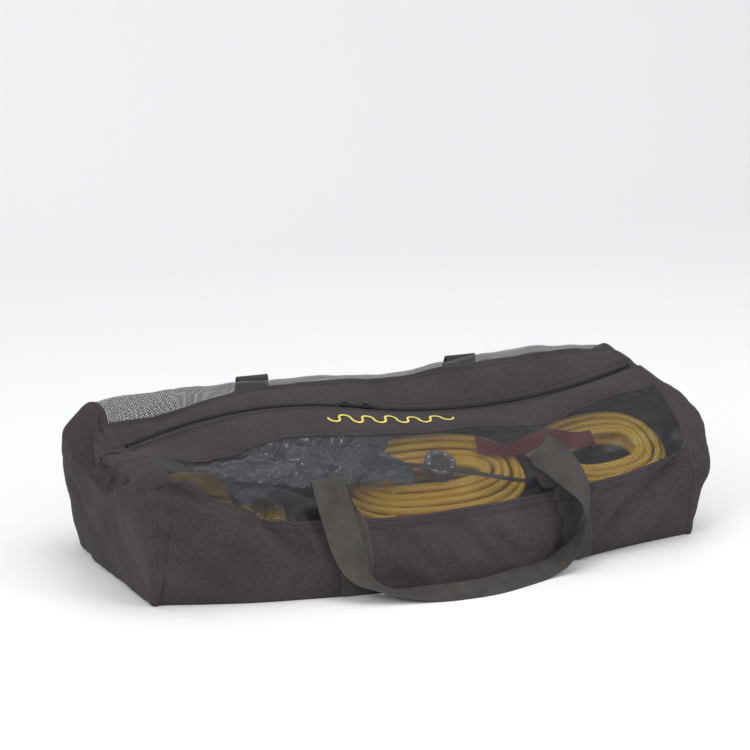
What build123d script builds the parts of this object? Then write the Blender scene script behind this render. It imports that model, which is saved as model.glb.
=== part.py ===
from build123d import *
import os
from math import asin, cos, degrees, hypot, radians, sin, sqrt

# Mesh gear duffel for a coiled line: cloth bottom, lower sides, ends and top bands, net upper sides,
# a full-length two-way zip, two webbing handles, and the hose, valve and pouch that it carries.
# +X runs along the bag, +Y to its back, +Z up. The origin is the middle of the base, on the floor.

# ---------------------------------------------------------------- driving dimensions, millimetres
body_length = 870.0          # between the two end seams
end_bulge = 20.0             # how far each end panel swells beyond its seam
panel_thickness = 2.0        # cloth and net, with their hems

base_half_middle = 208.0     # half depth of the flat base, at mid length and at the ends
base_half_end = 142.0
seam_flare_middle = 2.0      # how much further out the seam between lower panel and net stands
seam_flare_end = 42.0
seam_height_middle = 94.0    # height of that seam
seam_height_left = 168.0
seam_height_right = 142.0
lower_bow = (19.0, 19.0)     # how far the lower panels swell between base and seam, mid length and ends
end_taper = 3.0              # the depth stays full along the middle and tapers towards the ends

band_half = 75.0             # half width of the cloth top, zip included
front_fall_middle = 24.0     # how far the front band drops from the zip to its outer edge
front_fall_end = 5.0
back_edge_height_middle = 252.0   # the back band climbs from the zip to this height
back_edge_height_end = 247.0
band_bow = (2.5, 2.5)        # how far the bands and the nets swell, at mid length and at the ends
front_net_bow = (20.0, 13.0)
back_net_bow = (25.0, 18.0)
middle_height = 110.0        # the panels' thickness is measured towards this height

# The zip's path is two arcs that meet between the sliders: a crown to the left, a sag to the right.
# Their places and radii grow with the bag's length.
crown_share = -190 / 870
crown_height = 228.0
crown_radius_share = 700 / 870
sag_radius_share = 1000 / 870
arc_meeting_share = -54 / 870
zip_end_tab_length = 25.0
tape_half = 15.0
tape_thickness = 1.0
zip_gap = 1.2                # between the two coils, where the sliders' webs run
coil_width = 3.0
coil_height = 3.2

slider_spacing = 34.0        # between the two sliders, which stand either side of the arcs' meeting
slider_length = 16.0
slider_width = 11.0
slider_plate = 1.8
slider_web = 0.5
slider_lip = 0.9
slider_lip_clearance = 0.4
slider_clearance = 0.35      # above and below the coils
bridge_length = 9.0
bridge_width = 2.4
bridge_bar = 1.3
bridge_foot = 2.0
pull_length = 20.0
pull_width = 7.0
pull_thickness = 1.6
pull_clearance = 0.5

strap_width = 50.8
strap_thickness = 2.0
strap_clearance = 0.4        # between the sewn strap and the cloth's swelling face
leg_left_x = -150.0          # where the handle legs are sewn, on both sides of the bag
leg_right_x = 204.0
front_fold_height = 170.0
front_fold_set_back = 10.0   # how far the front folds stand behind the lower seam
front_fold_left_x = -183.0
front_fold_right_x = 152.0
front_floor_left_x = -135.0  # where the falls of the front handle reach the floor
front_floor_right_x = 190.0
front_fall_clear = 26.0      # between the swell of the lower panel and the foot of the falls
front_run_out = 62.0         # how much further forward the run on the floor bows
back_fold_height = 234.0
back_fold_set_back = 38.0
back_loop_drop = 128.0       # length of the back handle's loop below its fold
back_loop_lean = 34.0        # degrees from the vertical
fold_gap = 2.5               # between a leg's top and the loop that hangs from it

thread_width = 2.6           # embroidered wave on the front band
thread_height = 0.8
wave_radius = 9.0
wave_start_x = -112.0
wave_count = 11
wave_clearance = 1.0

fitting_diameter = 17.0
fitting_length = 34.0
fitting_clearance = 0.3

# Each coil of hose: centre, half length, half width, how wide and how deep its turns pile up,
# its tilt towards the front of the bag and its roll along it, in degrees.
left_coil = {"centre": (-305, -80, 100), "half": (104, 74), "band": 50, "depth": 36, "tilt": 30, "roll": -10}
middle_coil = {"centre": (12, -104, 115), "half": (164, 86), "band": 72, "depth": 40, "tilt": 34, "roll": 0}
right_coil = {"centre": (312, -92, 122), "half": (106, 80), "band": 50, "depth": 40, "tilt": 32, "roll": 5}
coil_edge_radius = 12.0

pouch_size = (150.0, 74.0, 34.0)
pouch_centre = (-225.0, -108.0, 146.0)
pouch_tilt = 40.0
pouch_corner = 14.0
harness_size = (200.0, 32.0, 3.0)
harness_centre = (200.0, -98.0, 156.0)
harness_tilt = 36.0

valve_radius = 24.0
valve_depth = 15.0
valve_cover_thickness = 3.5
button_radius = 14.0
button_travel = 3.0
button_clearance = 0.4
button_proud = 2.0

# ---------------------------------------------------------------- the bag's form
half_length = body_length / 2
seam_half_middle = base_half_middle + seam_flare_middle
seam_half_end = base_half_end + seam_flare_end
crown_x = crown_share * body_length
crown_radius = crown_radius_share * body_length
sag_radius = sag_radius_share * body_length
arc_meeting_x = arc_meeting_share * body_length
slider_left_x = arc_meeting_x - slider_spacing / 2
slider_right_x = arc_meeting_x + slider_spacing / 2
crown_centre_z = crown_height - crown_radius
arc_meeting_z = crown_centre_z + sqrt(crown_radius**2 - (arc_meeting_x - crown_x) ** 2)
meeting_slope_x = (arc_meeting_x - crown_x) / crown_radius
meeting_slope_z = (arc_meeting_z - crown_centre_z) / crown_radius
sag_centre_x = arc_meeting_x + meeting_slope_x * sag_radius
sag_centre_z = arc_meeting_z + meeting_slope_z * sag_radius
crown_axis = Axis((crown_x, 0, crown_centre_z), (0, 1, 0))
sag_axis = Axis((sag_centre_x, 0, sag_centre_z), (0, -1, 0))


def zip_height(x):
    """Height of the zip's path."""
    if x < arc_meeting_x:
        return crown_centre_z + sqrt(crown_radius**2 - (x - crown_x) ** 2)
    return sag_centre_z - sqrt(sag_radius**2 - (x - sag_centre_x) ** 2)


def zip_tilt(x):
    """Angle by which the path falls towards +X, in radians."""
    if x < arc_meeting_x:
        return asin((x - crown_x) / crown_radius)
    return -asin((x - sag_centre_x) / sag_radius)


def zip_plane(x):
    """Plane that lies on the zip: its X along the path, its Z away from the bag."""
    tilt = zip_tilt(x)
    origin = (x, 0, zip_height(x))
    return Plane(origin=origin, x_dir=(cos(tilt), 0, -sin(tilt)), z_dir=(sin(tilt), 0, cos(tilt)))


def zip_section(x):
    """Plane across the zip: its X to the back of the bag, its Y away from the bag."""
    tilt = zip_tilt(x)
    return Plane(origin=(x, 0, zip_height(x)), x_dir=(0, 1, 0), z_dir=(cos(tilt), 0, -sin(tilt)))


def along(x, middle, end):
    """A size that changes from its middle value to its value at the end seams."""
    return middle + (end - middle) * (abs(x) / half_length) ** end_taper


def base_edge(x, side):
    return (side * along(x, base_half_middle, base_half_end), 0.0)


def lower_seam(x, side):
    height_end = seam_height_left if x < 0 else seam_height_right
    return (side * along(x, seam_half_middle, seam_half_end), along(x, seam_height_middle, height_end))


def band_edge(x, side):
    if side < 0:
        return (-band_half, zip_height(x) - along(x, front_fall_middle, front_fall_end))
    return (band_half, along(x, back_edge_height_middle, back_edge_height_end))


def tape_edge(x, side):
    return (side * tape_half, zip_height(x))


def moved_out(point, distance):
    """A point of a section, moved away from the middle of the bag."""
    y, z = point[0], point[1] - middle_height
    scale_up = 1 + distance / hypot(y, z)
    return (y * scale_up, middle_height + z * scale_up)


def bow_point(lower, upper, bow):
    """Middle of the arc from one seam to the next, bowed away from the middle of the bag."""
    y, z = (lower[0] + upper[0]) / 2, (lower[1] + upper[1]) / 2
    run, rise = upper[0] - lower[0], upper[1] - lower[1]
    span = hypot(run, rise)
    side_y, side_z = rise / span, -run / span
    if side_y * y + side_z * (z - middle_height) < 0:
        side_y, side_z = -side_y, -side_z
    return (y + bow * side_y, z + bow * side_z)


# ---------------------------------------------------------------- sections and stations
station_count = 11
leg_edges = [x + half * strap_width / 2 for x in (leg_left_x, leg_right_x) for half in (-1, 1)]
even_stations = [body_length * i / (station_count - 1) - half_length for i in range(station_count)]
stations = sorted(even_stations + leg_edges)


def strip_sections(xs, side, lower_edge, upper_edge, bow, inner=-panel_thickness, outer=0.0):
    """Cross-sections of a strip of cloth from one seam line to the next, at each x."""
    sections = []
    for x in xs:
        low, high = lower_edge(x, side), upper_edge(x, side)
        swell = along(x, *bow)
        if low[1] == 0.0:                         # the lower panel's bottom edge stands square on the base
            low_in, low_out = (low[0] + side * inner, 0.0), (low[0] + side * outer, 0.0)
        else:
            low_in, low_out = moved_out(low, inner), moved_out(low, outer)
        if abs(high[0]) == tape_half:             # the band's edge is square to the tape
            high_in, high_out = (high[0], high[1] + inner), (high[0], high[1] + outer)
        else:
            high_in, high_out = moved_out(high, inner), moved_out(high, outer)
        with BuildSketch(Plane.YZ.offset(x)) as section:
            with BuildLine():
                ThreePointArc(low_out, bow_point(low_out, high_out, swell), high_out)
                Line(high_out, high_in)
                ThreePointArc(high_in, bow_point(low_in, high_in, swell), low_in)
                Line(low_in, low_out)
            make_face()
        sections.append(section.sketch)
    return sections


def end_outline(end_x, out, share):
    """Outline of the bag at an end seam, pushed out along X and shrunk about its middle."""
    def from_middle(point):
        return (point[0], point[1] - middle_height)

    corners = [edge(end_x, -1) for edge in (base_edge, lower_seam, band_edge, tape_edge)]
    corners += [edge(end_x, 1) for edge in (tape_edge, band_edge, lower_seam, base_edge)]
    bows = [lower_bow[1], front_net_bow[1], band_bow[1], 0, band_bow[1], back_net_bow[1], lower_bow[1]]
    plane = Plane(origin=(end_x + out, 0, middle_height), x_dir=(0, 1, 0), z_dir=(1, 0, 0))
    with BuildSketch(plane) as outline:
        with BuildLine():
            for start, stop, bow in zip(corners, corners[1:], bows):
                if bow:
                    middle = bow_point(start, stop, bow)
                    ThreePointArc(from_middle(start), from_middle(middle), from_middle(stop))
                else:
                    Line(from_middle(start), from_middle(stop))
            Line(from_middle(corners[-1]), from_middle(corners[0]))
        make_face()
        scale(by=share)
    return outline.sketch


def finish(piece, name):
    """Labels a finished piece and writes it."""
    piece.part.label = name
    export_step(piece.part, f"parts/{name}.step")


os.makedirs("parts", exist_ok=True)

# ---------------------------------------------------------------- cloth shell
with BuildPart() as bottom_panel:
    with BuildSketch():
        front_line = [(x, base_edge(x, -1)[0] + panel_thickness) for x in stations]
        back_line = [(x, base_edge(x, 1)[0] - panel_thickness) for x in reversed(stations)]
        with BuildLine():
            Polyline(*front_line, *back_line, close=True)
        make_face()
    extrude(amount=panel_thickness)
finish(bottom_panel, "bottom_panel")

for side_name, side, net_bow in (("front", -1, front_net_bow), ("back", 1, back_net_bow)):
    with BuildPart() as lower_panel:
        loft(strip_sections(stations, side, base_edge, lower_seam, lower_bow), ruled=True)
    finish(lower_panel, f"{side_name}_lower_panel")

    with BuildPart() as mesh_panel:
        loft(strip_sections(stations, side, lower_seam, band_edge, net_bow), ruled=True)
    finish(mesh_panel, f"{side_name}_mesh_panel")

    with BuildPart() as top_band:
        loft(strip_sections(stations, side, band_edge, tape_edge, band_bow), ruled=True)
    finish(top_band, f"{side_name}_top_band")

# Each end panel is a shallow dome: full outline at the seam, shrinking as it swells outwards.
dome_steps = ((0.0, 1.0), (0.65, 0.88), (1.0, 0.6))


def dome_sections(end, inset):
    """Outlines of an end panel's dome, set back into the bag by the inset."""
    seam_x = end * half_length
    return [end_outline(seam_x, end * (end_bulge * out - inset), share) for out, share in dome_steps]


for end_name, end in (("left", -1), ("right", 1)):
    with BuildPart() as end_panel:
        loft(dome_sections(end, 0.0), ruled=True)
        loft(dome_sections(end, panel_thickness), ruled=True, mode=Mode.SUBTRACT)
    finish(end_panel, f"{end_name}_end_panel")

# ---------------------------------------------------------------- zip: tapes, coils and end tabs
zip_end = half_length - zip_end_tab_length
crown_sweep = degrees(zip_tilt(arc_meeting_x) - zip_tilt(-zip_end))
sag_sweep = degrees(zip_tilt(arc_meeting_x) - zip_tilt(zip_end))

zip_strips = (
    ("zip_tape", zip_gap / 2 + coil_width, tape_half, -tape_thickness, 0.0),
    ("zip_coil", zip_gap / 2, zip_gap / 2 + coil_width, -coil_height / 2, coil_height / 2),
)
for strip_name, near, far, low, high in zip_strips:
    for side_name, side in (("front", -1), ("back", 1)):
        with BuildPart() as zip_strip:
            with BuildSketch(zip_section(-zip_end)):
                with Locations((side * (near + far) / 2, (low + high) / 2)):
                    Rectangle(far - near, high - low)
            revolve(axis=crown_axis, revolution_arc=crown_sweep)
            with BuildSketch(zip_section(arc_meeting_x)):
                with Locations((side * (near + far) / 2, (low + high) / 2)):
                    Rectangle(far - near, high - low)
            revolve(axis=sag_axis, revolution_arc=sag_sweep)
        finish(zip_strip, f"{side_name}_{strip_name}")

tab_ends = (("left", -half_length, -zip_end, crown_axis), ("right", zip_end, half_length, sag_axis))
for end_name, tab_start, tab_stop, path_axis in tab_ends:
    with BuildPart() as end_tab:
        with BuildSketch(zip_section(tab_start)):
            Rectangle(2 * tape_half, 2 * tape_thickness)
        revolve(axis=path_axis, revolution_arc=degrees(abs(zip_tilt(tab_stop) - zip_tilt(tab_start))))
        split(bisect_by=Plane.YZ.offset(-half_length), keep=Keep.TOP)
        split(bisect_by=Plane.YZ.offset(half_length), keep=Keep.BOTTOM)
    finish(end_tab, f"{end_name}_zip_end_tab")

# ---------------------------------------------------------------- zip: sliders and pulls
top_plate_low = coil_height / 2 + slider_clearance
top_plate_high = top_plate_low + slider_plate
pull_axis_height = top_plate_high + pull_clearance + pull_thickness / 2
bridge_high = pull_axis_height + pull_thickness / 2 + pull_clearance + bridge_bar
pull_window = bridge_length / 2 + bridge_bar + pull_thickness / 2

for end_name, slider_x in (("left", slider_left_x), ("right", slider_right_x)):
    seat = zip_plane(slider_x)
    with BuildPart() as slider:
        for plate_low in (top_plate_low, -top_plate_high):
            with BuildSketch(seat.offset(plate_low)):
                RectangleRounded(slider_length, slider_width, slider_width / 4)
            extrude(amount=slider_plate)
        with BuildSketch(seat.offset(-top_plate_high)):
            Rectangle(slider_length / 2, slider_web)
        extrude(amount=2 * top_plate_high)
        with BuildSketch(seat.offset(slider_lip_clearance)):
            for side in (-1, 1):
                with Locations((0, side * (slider_width - slider_lip) / 2)):
                    Rectangle(slider_length / 2, slider_lip)
        extrude(amount=top_plate_high - slider_lip_clearance)
        with BuildSketch(seat.offset(top_plate_high - slider_plate / 2)):
            Rectangle(bridge_length, bridge_width)
        extrude(amount=bridge_high - top_plate_high + slider_plate / 2)
        with BuildSketch(seat.offset(top_plate_high)):
            Rectangle(bridge_length - 2 * bridge_foot, 2 * bridge_width)
        extrude(amount=bridge_high - bridge_bar - top_plate_high, mode=Mode.SUBTRACT)
    finish(slider, f"{end_name}_slider")

    with BuildPart() as pull_tab:
        with BuildSketch(seat.offset(pull_axis_height - pull_thickness / 2)):
            with Locations((pull_length / 2 - pull_thickness / 2, 0)):
                RectangleRounded(pull_length, pull_width, pull_thickness / 2)
            with Locations((pull_thickness / 2 + pull_window / 2, 0)):
                Rectangle(pull_window, bridge_width + 2 * pull_clearance, mode=Mode.SUBTRACT)
        extrude(amount=pull_thickness)
    finish(pull_tab, f"{end_name}_pull_tab")

# ---------------------------------------------------------------- handles
front_fold_y = front_fold_set_back - seam_half_middle
back_fold_y = seam_half_middle - back_fold_set_back
strap_outer = strap_clearance + strap_thickness
leg_places = (("left", leg_left_x, front_fold_left_x), ("right", leg_right_x, front_fold_right_x))
for leg_name, leg_x, fold_x in leg_places:
    leg_ends = [leg_x - strap_width / 2, leg_x + strap_width / 2]
    for side_name, side, top_x, top_y, top_z in (
        ("front", -1, fold_x, front_fold_y, front_fold_height - fold_gap),
        ("back", 1, leg_x, back_fold_y, back_fold_height - fold_gap),
    ):
        seam_y, seam_z = lower_seam(leg_x, side)
        with BuildPart() as handle_leg:
            edges = (base_edge, lower_seam)
            loft(strip_sections(leg_ends, side, *edges, lower_bow, strap_clearance, strap_outer), ruled=True)
            with BuildSketch(Plane.XY.offset(seam_z - strap_thickness / 2)):
                with Locations((leg_x, seam_y + side * (strap_clearance + 1.25 * strap_thickness))):
                    Rectangle(strap_width, strap_thickness)
            with BuildSketch(Plane.XY.offset(top_z)):
                with Locations((top_x, top_y)):
                    Rectangle(strap_width, strap_thickness)
            loft(ruled=True)
        finish(handle_leg, f"{side_name}_{leg_name}_handle_leg")

front_loop_y = front_fold_y - strap_thickness - fold_gap / 2
floor_y = -max(base_half_middle, seam_half_middle) - lower_bow[0] - front_fall_clear
front_falls = ((front_fold_left_x, front_floor_left_x), (front_fold_right_x, front_floor_right_x))
with BuildPart() as front_handle_loop:
    for fold_x, floor_x in front_falls:
        with BuildSketch(Plane.XY.offset(front_fold_height)):
            with Locations((fold_x, front_loop_y)):
                Rectangle(strap_width, strap_thickness)
        with BuildSketch():
            with Locations((floor_x, floor_y)):
                Rectangle(strap_width, strap_thickness)
        loft(ruled=True)
    with BuildSketch():
        run_left = front_floor_left_x - strap_width / 2
        run_right = front_floor_right_x + strap_width / 2
        run_middle = (run_left + run_right) / 2
        inner_left, inner_right = run_left + strap_width / 2, run_right - strap_width / 2
        near_y = floor_y + strap_thickness / 2
        with BuildLine():
            ThreePointArc((run_left, near_y), (run_middle, floor_y - front_run_out), (run_right, near_y))
            Line((run_right, near_y), (inner_right, near_y))
            inner_top = floor_y - front_run_out + strap_width
            ThreePointArc((inner_right, near_y), (run_middle, inner_top), (inner_left, near_y))
            Line((inner_left, near_y), (run_left, near_y))
        make_face()
    extrude(amount=strap_thickness)
finish(front_handle_loop, "front_handle_loop")

lean = radians(back_loop_lean)
back_loop_y = back_fold_y + strap_thickness + fold_gap / 2
back_loop_plane = Plane(
    origin=((leg_left_x + leg_right_x) / 2, back_loop_y, back_fold_height),
    x_dir=(1, 0, 0),
    z_dir=(0, cos(lean), sin(lean)),
)
with BuildPart() as back_handle_loop:
    with BuildSketch(back_loop_plane):
        loop_width = leg_right_x - leg_left_x + strap_width
        with Locations((0, back_loop_drop / 2)):
            Rectangle(loop_width, back_loop_drop)
        with Locations((0, (back_loop_drop - strap_width) / 2)):
            Rectangle(loop_width - 2 * strap_width, back_loop_drop - strap_width, mode=Mode.SUBTRACT)
    extrude(amount=strap_thickness)
finish(back_handle_loop, "back_handle_loop")

# ---------------------------------------------------------------- embroidered wave on the front band
def band_point(x):
    """Middle of the front band's face at x, with the wave's clearance."""
    y, z = bow_point(band_edge(x, -1), tape_edge(x, -1), band_bow[0] + wave_clearance)
    return (x, y, z)


def band_plane(x):
    """Plane that lies on the middle of the front band: its X along the bag, its Z away from it."""
    step = 1.0
    run = Vector(band_point(x + step)) - Vector(band_point(x - step))
    edge, tape = band_edge(x, -1), tape_edge(x, -1)
    across = Vector(0, tape[0] - edge[0], tape[1] - edge[1])
    return Plane(origin=band_point(x), x_dir=run, z_dir=run.cross(across))


with BuildPart() as embroidered_wave:
    for i in range(wave_count):
        with BuildSketch(band_plane(wave_start_x + 2 * wave_radius * (i + 0.5))):
            Circle(wave_radius + thread_width / 2)
            Circle(wave_radius - thread_width / 2, mode=Mode.SUBTRACT)
            with Locations((0, wave_radius * (-1) ** i)):
                Rectangle(4 * wave_radius, 2 * wave_radius, mode=Mode.SUBTRACT)
        extrude(amount=thread_height)
finish(embroidered_wave, "embroidered_wave")


# ---------------------------------------------------------------- what the bag holds
def tilted_plane(centre, tilt, roll=0.0):
    """Plane that leans back from the front of the bag by its tilt and rises to +X by its roll."""
    lean_back, rise = radians(tilt), radians(roll)
    x_dir = Vector(cos(rise), 0, sin(rise))
    return Plane(origin=centre, x_dir=x_dir, z_dir=x_dir.cross(Vector(0, cos(lean_back), sin(lean_back))))


for end_name, coil in (("left", left_coil), ("middle", middle_coil), ("right", right_coil)):
    half_along, half_across = coil["half"]
    lie = tilted_plane(coil["centre"], coil["tilt"], coil["roll"])
    with BuildPart() as hose_coil:
        with BuildSketch(lie.offset(-coil["depth"] / 2)):
            RectangleRounded(2 * half_along, 2 * half_across, 0.96 * half_across)
        extrude(amount=coil["depth"])
        fillet(hose_coil.edges(), radius=coil_edge_radius)
        with BuildSketch(lie.offset(-coil["depth"] / 2)):
            hole_along, hole_across = half_along - coil["band"], half_across - coil["band"]
            RectangleRounded(2 * hole_along, 2 * hole_across, 0.96 * hole_across)
        extrude(amount=coil["depth"], mode=Mode.SUBTRACT)
    finish(hose_coil, f"{end_name}_hose_coil")

    fitting_y = coil["band"] / 2 - half_across
    fitting_z = -(coil["depth"] + fitting_diameter) / 2 - fitting_clearance
    for fitting_name, fitting_x in (("inlet", -fitting_length), ("outlet", fitting_length)):
        seat = Plane(
            origin=lie.from_local_coords((fitting_x - fitting_length / 2, fitting_y, fitting_z)),
            x_dir=lie.y_dir,
            z_dir=lie.x_dir,
        )
        with BuildPart() as hose_fitting:
            with BuildSketch(seat):
                Circle(fitting_diameter / 2)
            extrude(amount=fitting_length)
            with BuildSketch(seat.offset(fitting_length / 3)):
                RegularPolygon(fitting_diameter / 2, 6, major_radius=False)
            extrude(amount=fitting_length / 3)
        finish(hose_fitting, f"{end_name}_hose_{fitting_name}_fitting")

middle_lie = tilted_plane(middle_coil["centre"], middle_coil["tilt"], middle_coil["roll"])
valve_seat = Plane(
    origin=middle_lie.from_local_coords((20, 4, middle_coil["depth"] / 2 + fitting_clearance)),
    x_dir=middle_lie.x_dir,
    z_dir=middle_lie.z_dir,
)
button_low = valve_depth - button_travel - 1.0
with BuildPart() as valve_body:
    with BuildSketch(valve_seat):
        Circle(valve_radius)
    extrude(amount=valve_depth)
    with BuildSketch(valve_seat.offset(button_low - button_travel - 1.0)):
        Circle(button_radius + button_clearance)
    extrude(amount=valve_depth, mode=Mode.SUBTRACT)
finish(valve_body, "valve_body")

with BuildPart() as valve_cover:
    with BuildSketch(valve_seat.offset(valve_depth)):
        Circle(valve_radius)
        Circle(button_radius + button_clearance, mode=Mode.SUBTRACT)
    extrude(amount=valve_cover_thickness)
    cover_face = valve_cover.faces().sort_by(Axis(valve_seat.origin, valve_seat.z_dir))[-1]
    chamfer(cover_face.outer_wire().edges(), length=valve_cover_thickness / 4)
finish(valve_cover, "valve_cover")

with BuildPart() as valve_button:
    with BuildSketch(valve_seat.offset(button_low)):
        Circle(button_radius)
    extrude(amount=valve_depth + valve_cover_thickness + button_proud - button_low)
    button_face = valve_button.faces().sort_by(Axis(valve_seat.origin, valve_seat.z_dir))[-1]
    fillet(button_face.edges(), radius=button_proud / 2)
finish(valve_button, "valve_button")

with BuildPart() as folded_pouch:
    with BuildSketch(tilted_plane(pouch_centre, pouch_tilt).offset(-pouch_size[2] / 2)):
        RectangleRounded(pouch_size[0], pouch_size[1], pouch_corner)
    extrude(amount=pouch_size[2])
    fillet(folded_pouch.edges(), radius=pouch_corner * 0.8)
finish(folded_pouch, "folded_pouch")

with BuildPart() as harness_strap:
    with BuildSketch(tilted_plane(harness_centre, harness_tilt).offset(-harness_size[2] / 2)):
        RectangleRounded(harness_size[0], harness_size[1], harness_size[2])
    extrude(amount=harness_size[2])
finish(harness_strap, "harness_strap")
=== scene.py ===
# %% [markdown]
# # A mesh gear duffel with coiled hose
# The bag is cloth below and at its ends, net above, and a cloth band with a long zip along its top.
# Two webbing handles lie over it, and coils of yellow hose show through the net. The packed model is loaded
# first, and every piece that follows is made around it, in metres, with +X along the bag and +Z up.

# %% Load the packed model
from math import cos, hypot, pi, radians, sin, sqrt
import bmesh
import bpy
import numpy as np
from mathutils import Matrix, Vector, noise


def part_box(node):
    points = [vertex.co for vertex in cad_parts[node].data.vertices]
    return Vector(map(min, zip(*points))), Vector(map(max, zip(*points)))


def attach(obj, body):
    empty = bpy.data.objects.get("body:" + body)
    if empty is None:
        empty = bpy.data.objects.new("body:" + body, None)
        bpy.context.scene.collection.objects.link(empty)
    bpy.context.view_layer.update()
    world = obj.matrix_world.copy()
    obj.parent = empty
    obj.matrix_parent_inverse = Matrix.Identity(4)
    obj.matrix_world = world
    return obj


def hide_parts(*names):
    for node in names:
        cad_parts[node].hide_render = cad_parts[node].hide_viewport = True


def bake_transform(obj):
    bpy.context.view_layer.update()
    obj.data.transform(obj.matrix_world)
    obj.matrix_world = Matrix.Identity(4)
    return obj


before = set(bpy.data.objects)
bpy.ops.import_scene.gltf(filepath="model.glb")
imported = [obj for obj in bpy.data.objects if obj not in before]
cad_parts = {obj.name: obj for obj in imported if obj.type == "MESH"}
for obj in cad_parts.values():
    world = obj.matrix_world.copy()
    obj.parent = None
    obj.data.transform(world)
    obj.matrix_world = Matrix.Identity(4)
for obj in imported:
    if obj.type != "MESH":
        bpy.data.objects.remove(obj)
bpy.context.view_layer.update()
rng = np.random.default_rng(7)

# %% [markdown]
# ## Camera and light
# The camera looks at the bag's long side from its left front corner, from a little above. The light is that of a
# small studio: one large soft source overhead, a weaker one from the left front, and a pale sweep under it all.
# Large sources are chosen because black cloth shows its folds only through broad, soft reflections.

# %% Place the camera
scene = bpy.context.scene


def camera_at(azimuth, elevation, distance, target, lens):
    """Places the camera round the target: azimuth 0 looks along +Y."""
    turn, lift = radians(azimuth), radians(elevation)
    back = Vector((sin(turn) * cos(lift), -cos(turn) * cos(lift), sin(lift)))
    data = bpy.data.cameras.new("camera")
    data.lens, data.clip_end = lens, 50
    camera = bpy.data.objects.new("camera", data)
    scene.collection.objects.link(camera)
    camera.location = Vector(target) + back * distance
    camera.rotation_mode = "QUATERNION"
    camera.rotation_quaternion = (-back).to_track_quat("-Z", "Y")
    scene.camera = camera
    print("camera", [round(v, 3) for v in camera.location], "lens", lens)


camera_at(-23.8, 13.4, 4.5, (-0.020, 0, 0.260), 143.8)

# %% Light the studio


def soft_lamp(name, place, aim, size, watts):
    """A square area lamp that points at aim."""
    data = bpy.data.lights.new(name, "AREA")
    data.size, data.energy = size, watts
    lamp = bpy.data.objects.new(name, data)
    scene.collection.objects.link(lamp)
    lamp.location = place
    lamp.rotation_mode = "QUATERNION"
    lamp.rotation_quaternion = (Vector(aim) - Vector(place)).to_track_quat("-Z", "Y")


soft_lamp("lamp_overhead", (0.2, -0.3, 2.8), (0, 0, 0.1), 2.0, 20)
soft_lamp("lamp_left", (-2.6, -2.2, 1.9), (0, 0, 0.1), 1.3, 46)
soft_lamp("lamp_right", (1.9, -2.6, 1.6), (0.1, 0, 0.1), 1.2, 26)

world = bpy.data.worlds.new("studio")
scene.world = world
world.use_nodes = True
world.node_tree.nodes["Background"].inputs[0].default_value = (0.93, 0.94, 0.96, 1)
world.node_tree.nodes["Background"].inputs[1].default_value = 0.85
scene.view_settings.view_transform = "Standard"
print("lamps", len(bpy.data.lights))

# %% [markdown]
# ## Shader helpers
# A material is a graph of nodes. Writing each sum as a Python expression keeps the graph readable: a Field wraps a
# socket, and the usual operators on it add the Math nodes. Every other node is made by one method.

# %% A value that varies over a surface


class Field:
    """A value that varies over a surface: an output socket of a material's graph."""

    def __init__(self, paint, socket):
        self.paint, self.socket = paint, socket

    def math(self, operation, *others):
        return self.paint.node("ShaderNodeMath", {"operation": operation}, [self, *others])

    def __add__(self, other):
        return self.math("ADD", other)

    def __sub__(self, other):
        return self.math("SUBTRACT", other)

    def __mul__(self, other):
        return self.math("MULTIPLY", other)

    def __rsub__(self, other):
        return self * -1 + other

    __radd__, __rmul__ = __add__, __mul__

    def wave(self):
        return self.math("SINE")


print("shader sums", [name for name in vars(Field) if name.startswith("__") and name not in vars(type)])

# %% A material and its graph


class Paint:
    """One material: its shader's constants are set first, then the Fields that vary them."""

    def __init__(self, name, colour, roughness, **constants):
        self.material = bpy.data.materials.new(name)
        self.material.use_nodes = True
        self.graph = self.material.node_tree
        self.shader = self.graph.nodes["Principled BSDF"]
        self.set("Base Color", (*colour, 1))
        self.set("Roughness", roughness)
        for socket, value in constants.items():
            self.set(socket.replace("_", " "), value)

    def set(self, socket, value):
        """Gives a socket of the surface shader a constant or a Field."""
        if isinstance(value, Field):
            self.graph.links.new(value.socket, self.shader.inputs[socket])
        else:
            self.shader.inputs[socket].default_value = value

    def node(self, kind, settings=None, values=(), output=0):
        """Adds a node: its settings first, then the values or Fields of its sockets, by place or by name."""
        made = self.graph.nodes.new(kind)
        for key, value in (settings or {}).items():
            setattr(made, key, value)
        for key, value in values.items() if isinstance(values, dict) else enumerate(values):
            if isinstance(value, Field):
                self.graph.links.new(value.socket, made.inputs[key])
            else:
                made.inputs[key].default_value = value
        fields = [Field(self, socket) for socket in made.outputs]
        return fields if output is None else fields[output]

    def place(self):
        """The place on the object, in metres."""
        return self.node("ShaderNodeTexCoord", output=3)

    def uv(self):
        return self.node("ShaderNodeTexCoord", output=2)

    def axes(self, vector):
        return self.node("ShaderNodeSeparateXYZ", {}, [vector], None)

    def mottle(self, scale, detail=3.0):
        """Soft noise with scale patches to a metre."""
        return self.node("ShaderNodeTexNoise", {}, {"Vector": self.place(), "Scale": scale, "Detail": detail})

    def blend(self, mask, first, second):
        """Colour first where the mask is 0, and second where it is 1."""
        return self.node("ShaderNodeMix", {"data_type": "RGBA"}, {0: mask, 6: (*first, 1), 7: (*second, 1)}, 2)

    def span(self, value, low, high, out_low=0.0, out_high=1.0):
        """Maps low to out_low and high to out_high, and holds beyond them."""
        return self.node("ShaderNodeMapRange", {}, [value, low, high, out_low, out_high])

    def relief(self, height, distance, strength=1.0):
        """Bumps the surface by height, whose full range stands for distance in metres."""
        bump = {"Strength": strength, "Distance": distance, "Height": height}
        self.set("Normal", self.node("ShaderNodeBump", {}, bump))


print("paint tools", [name for name in vars(Paint) if not name.startswith("_")])

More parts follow.
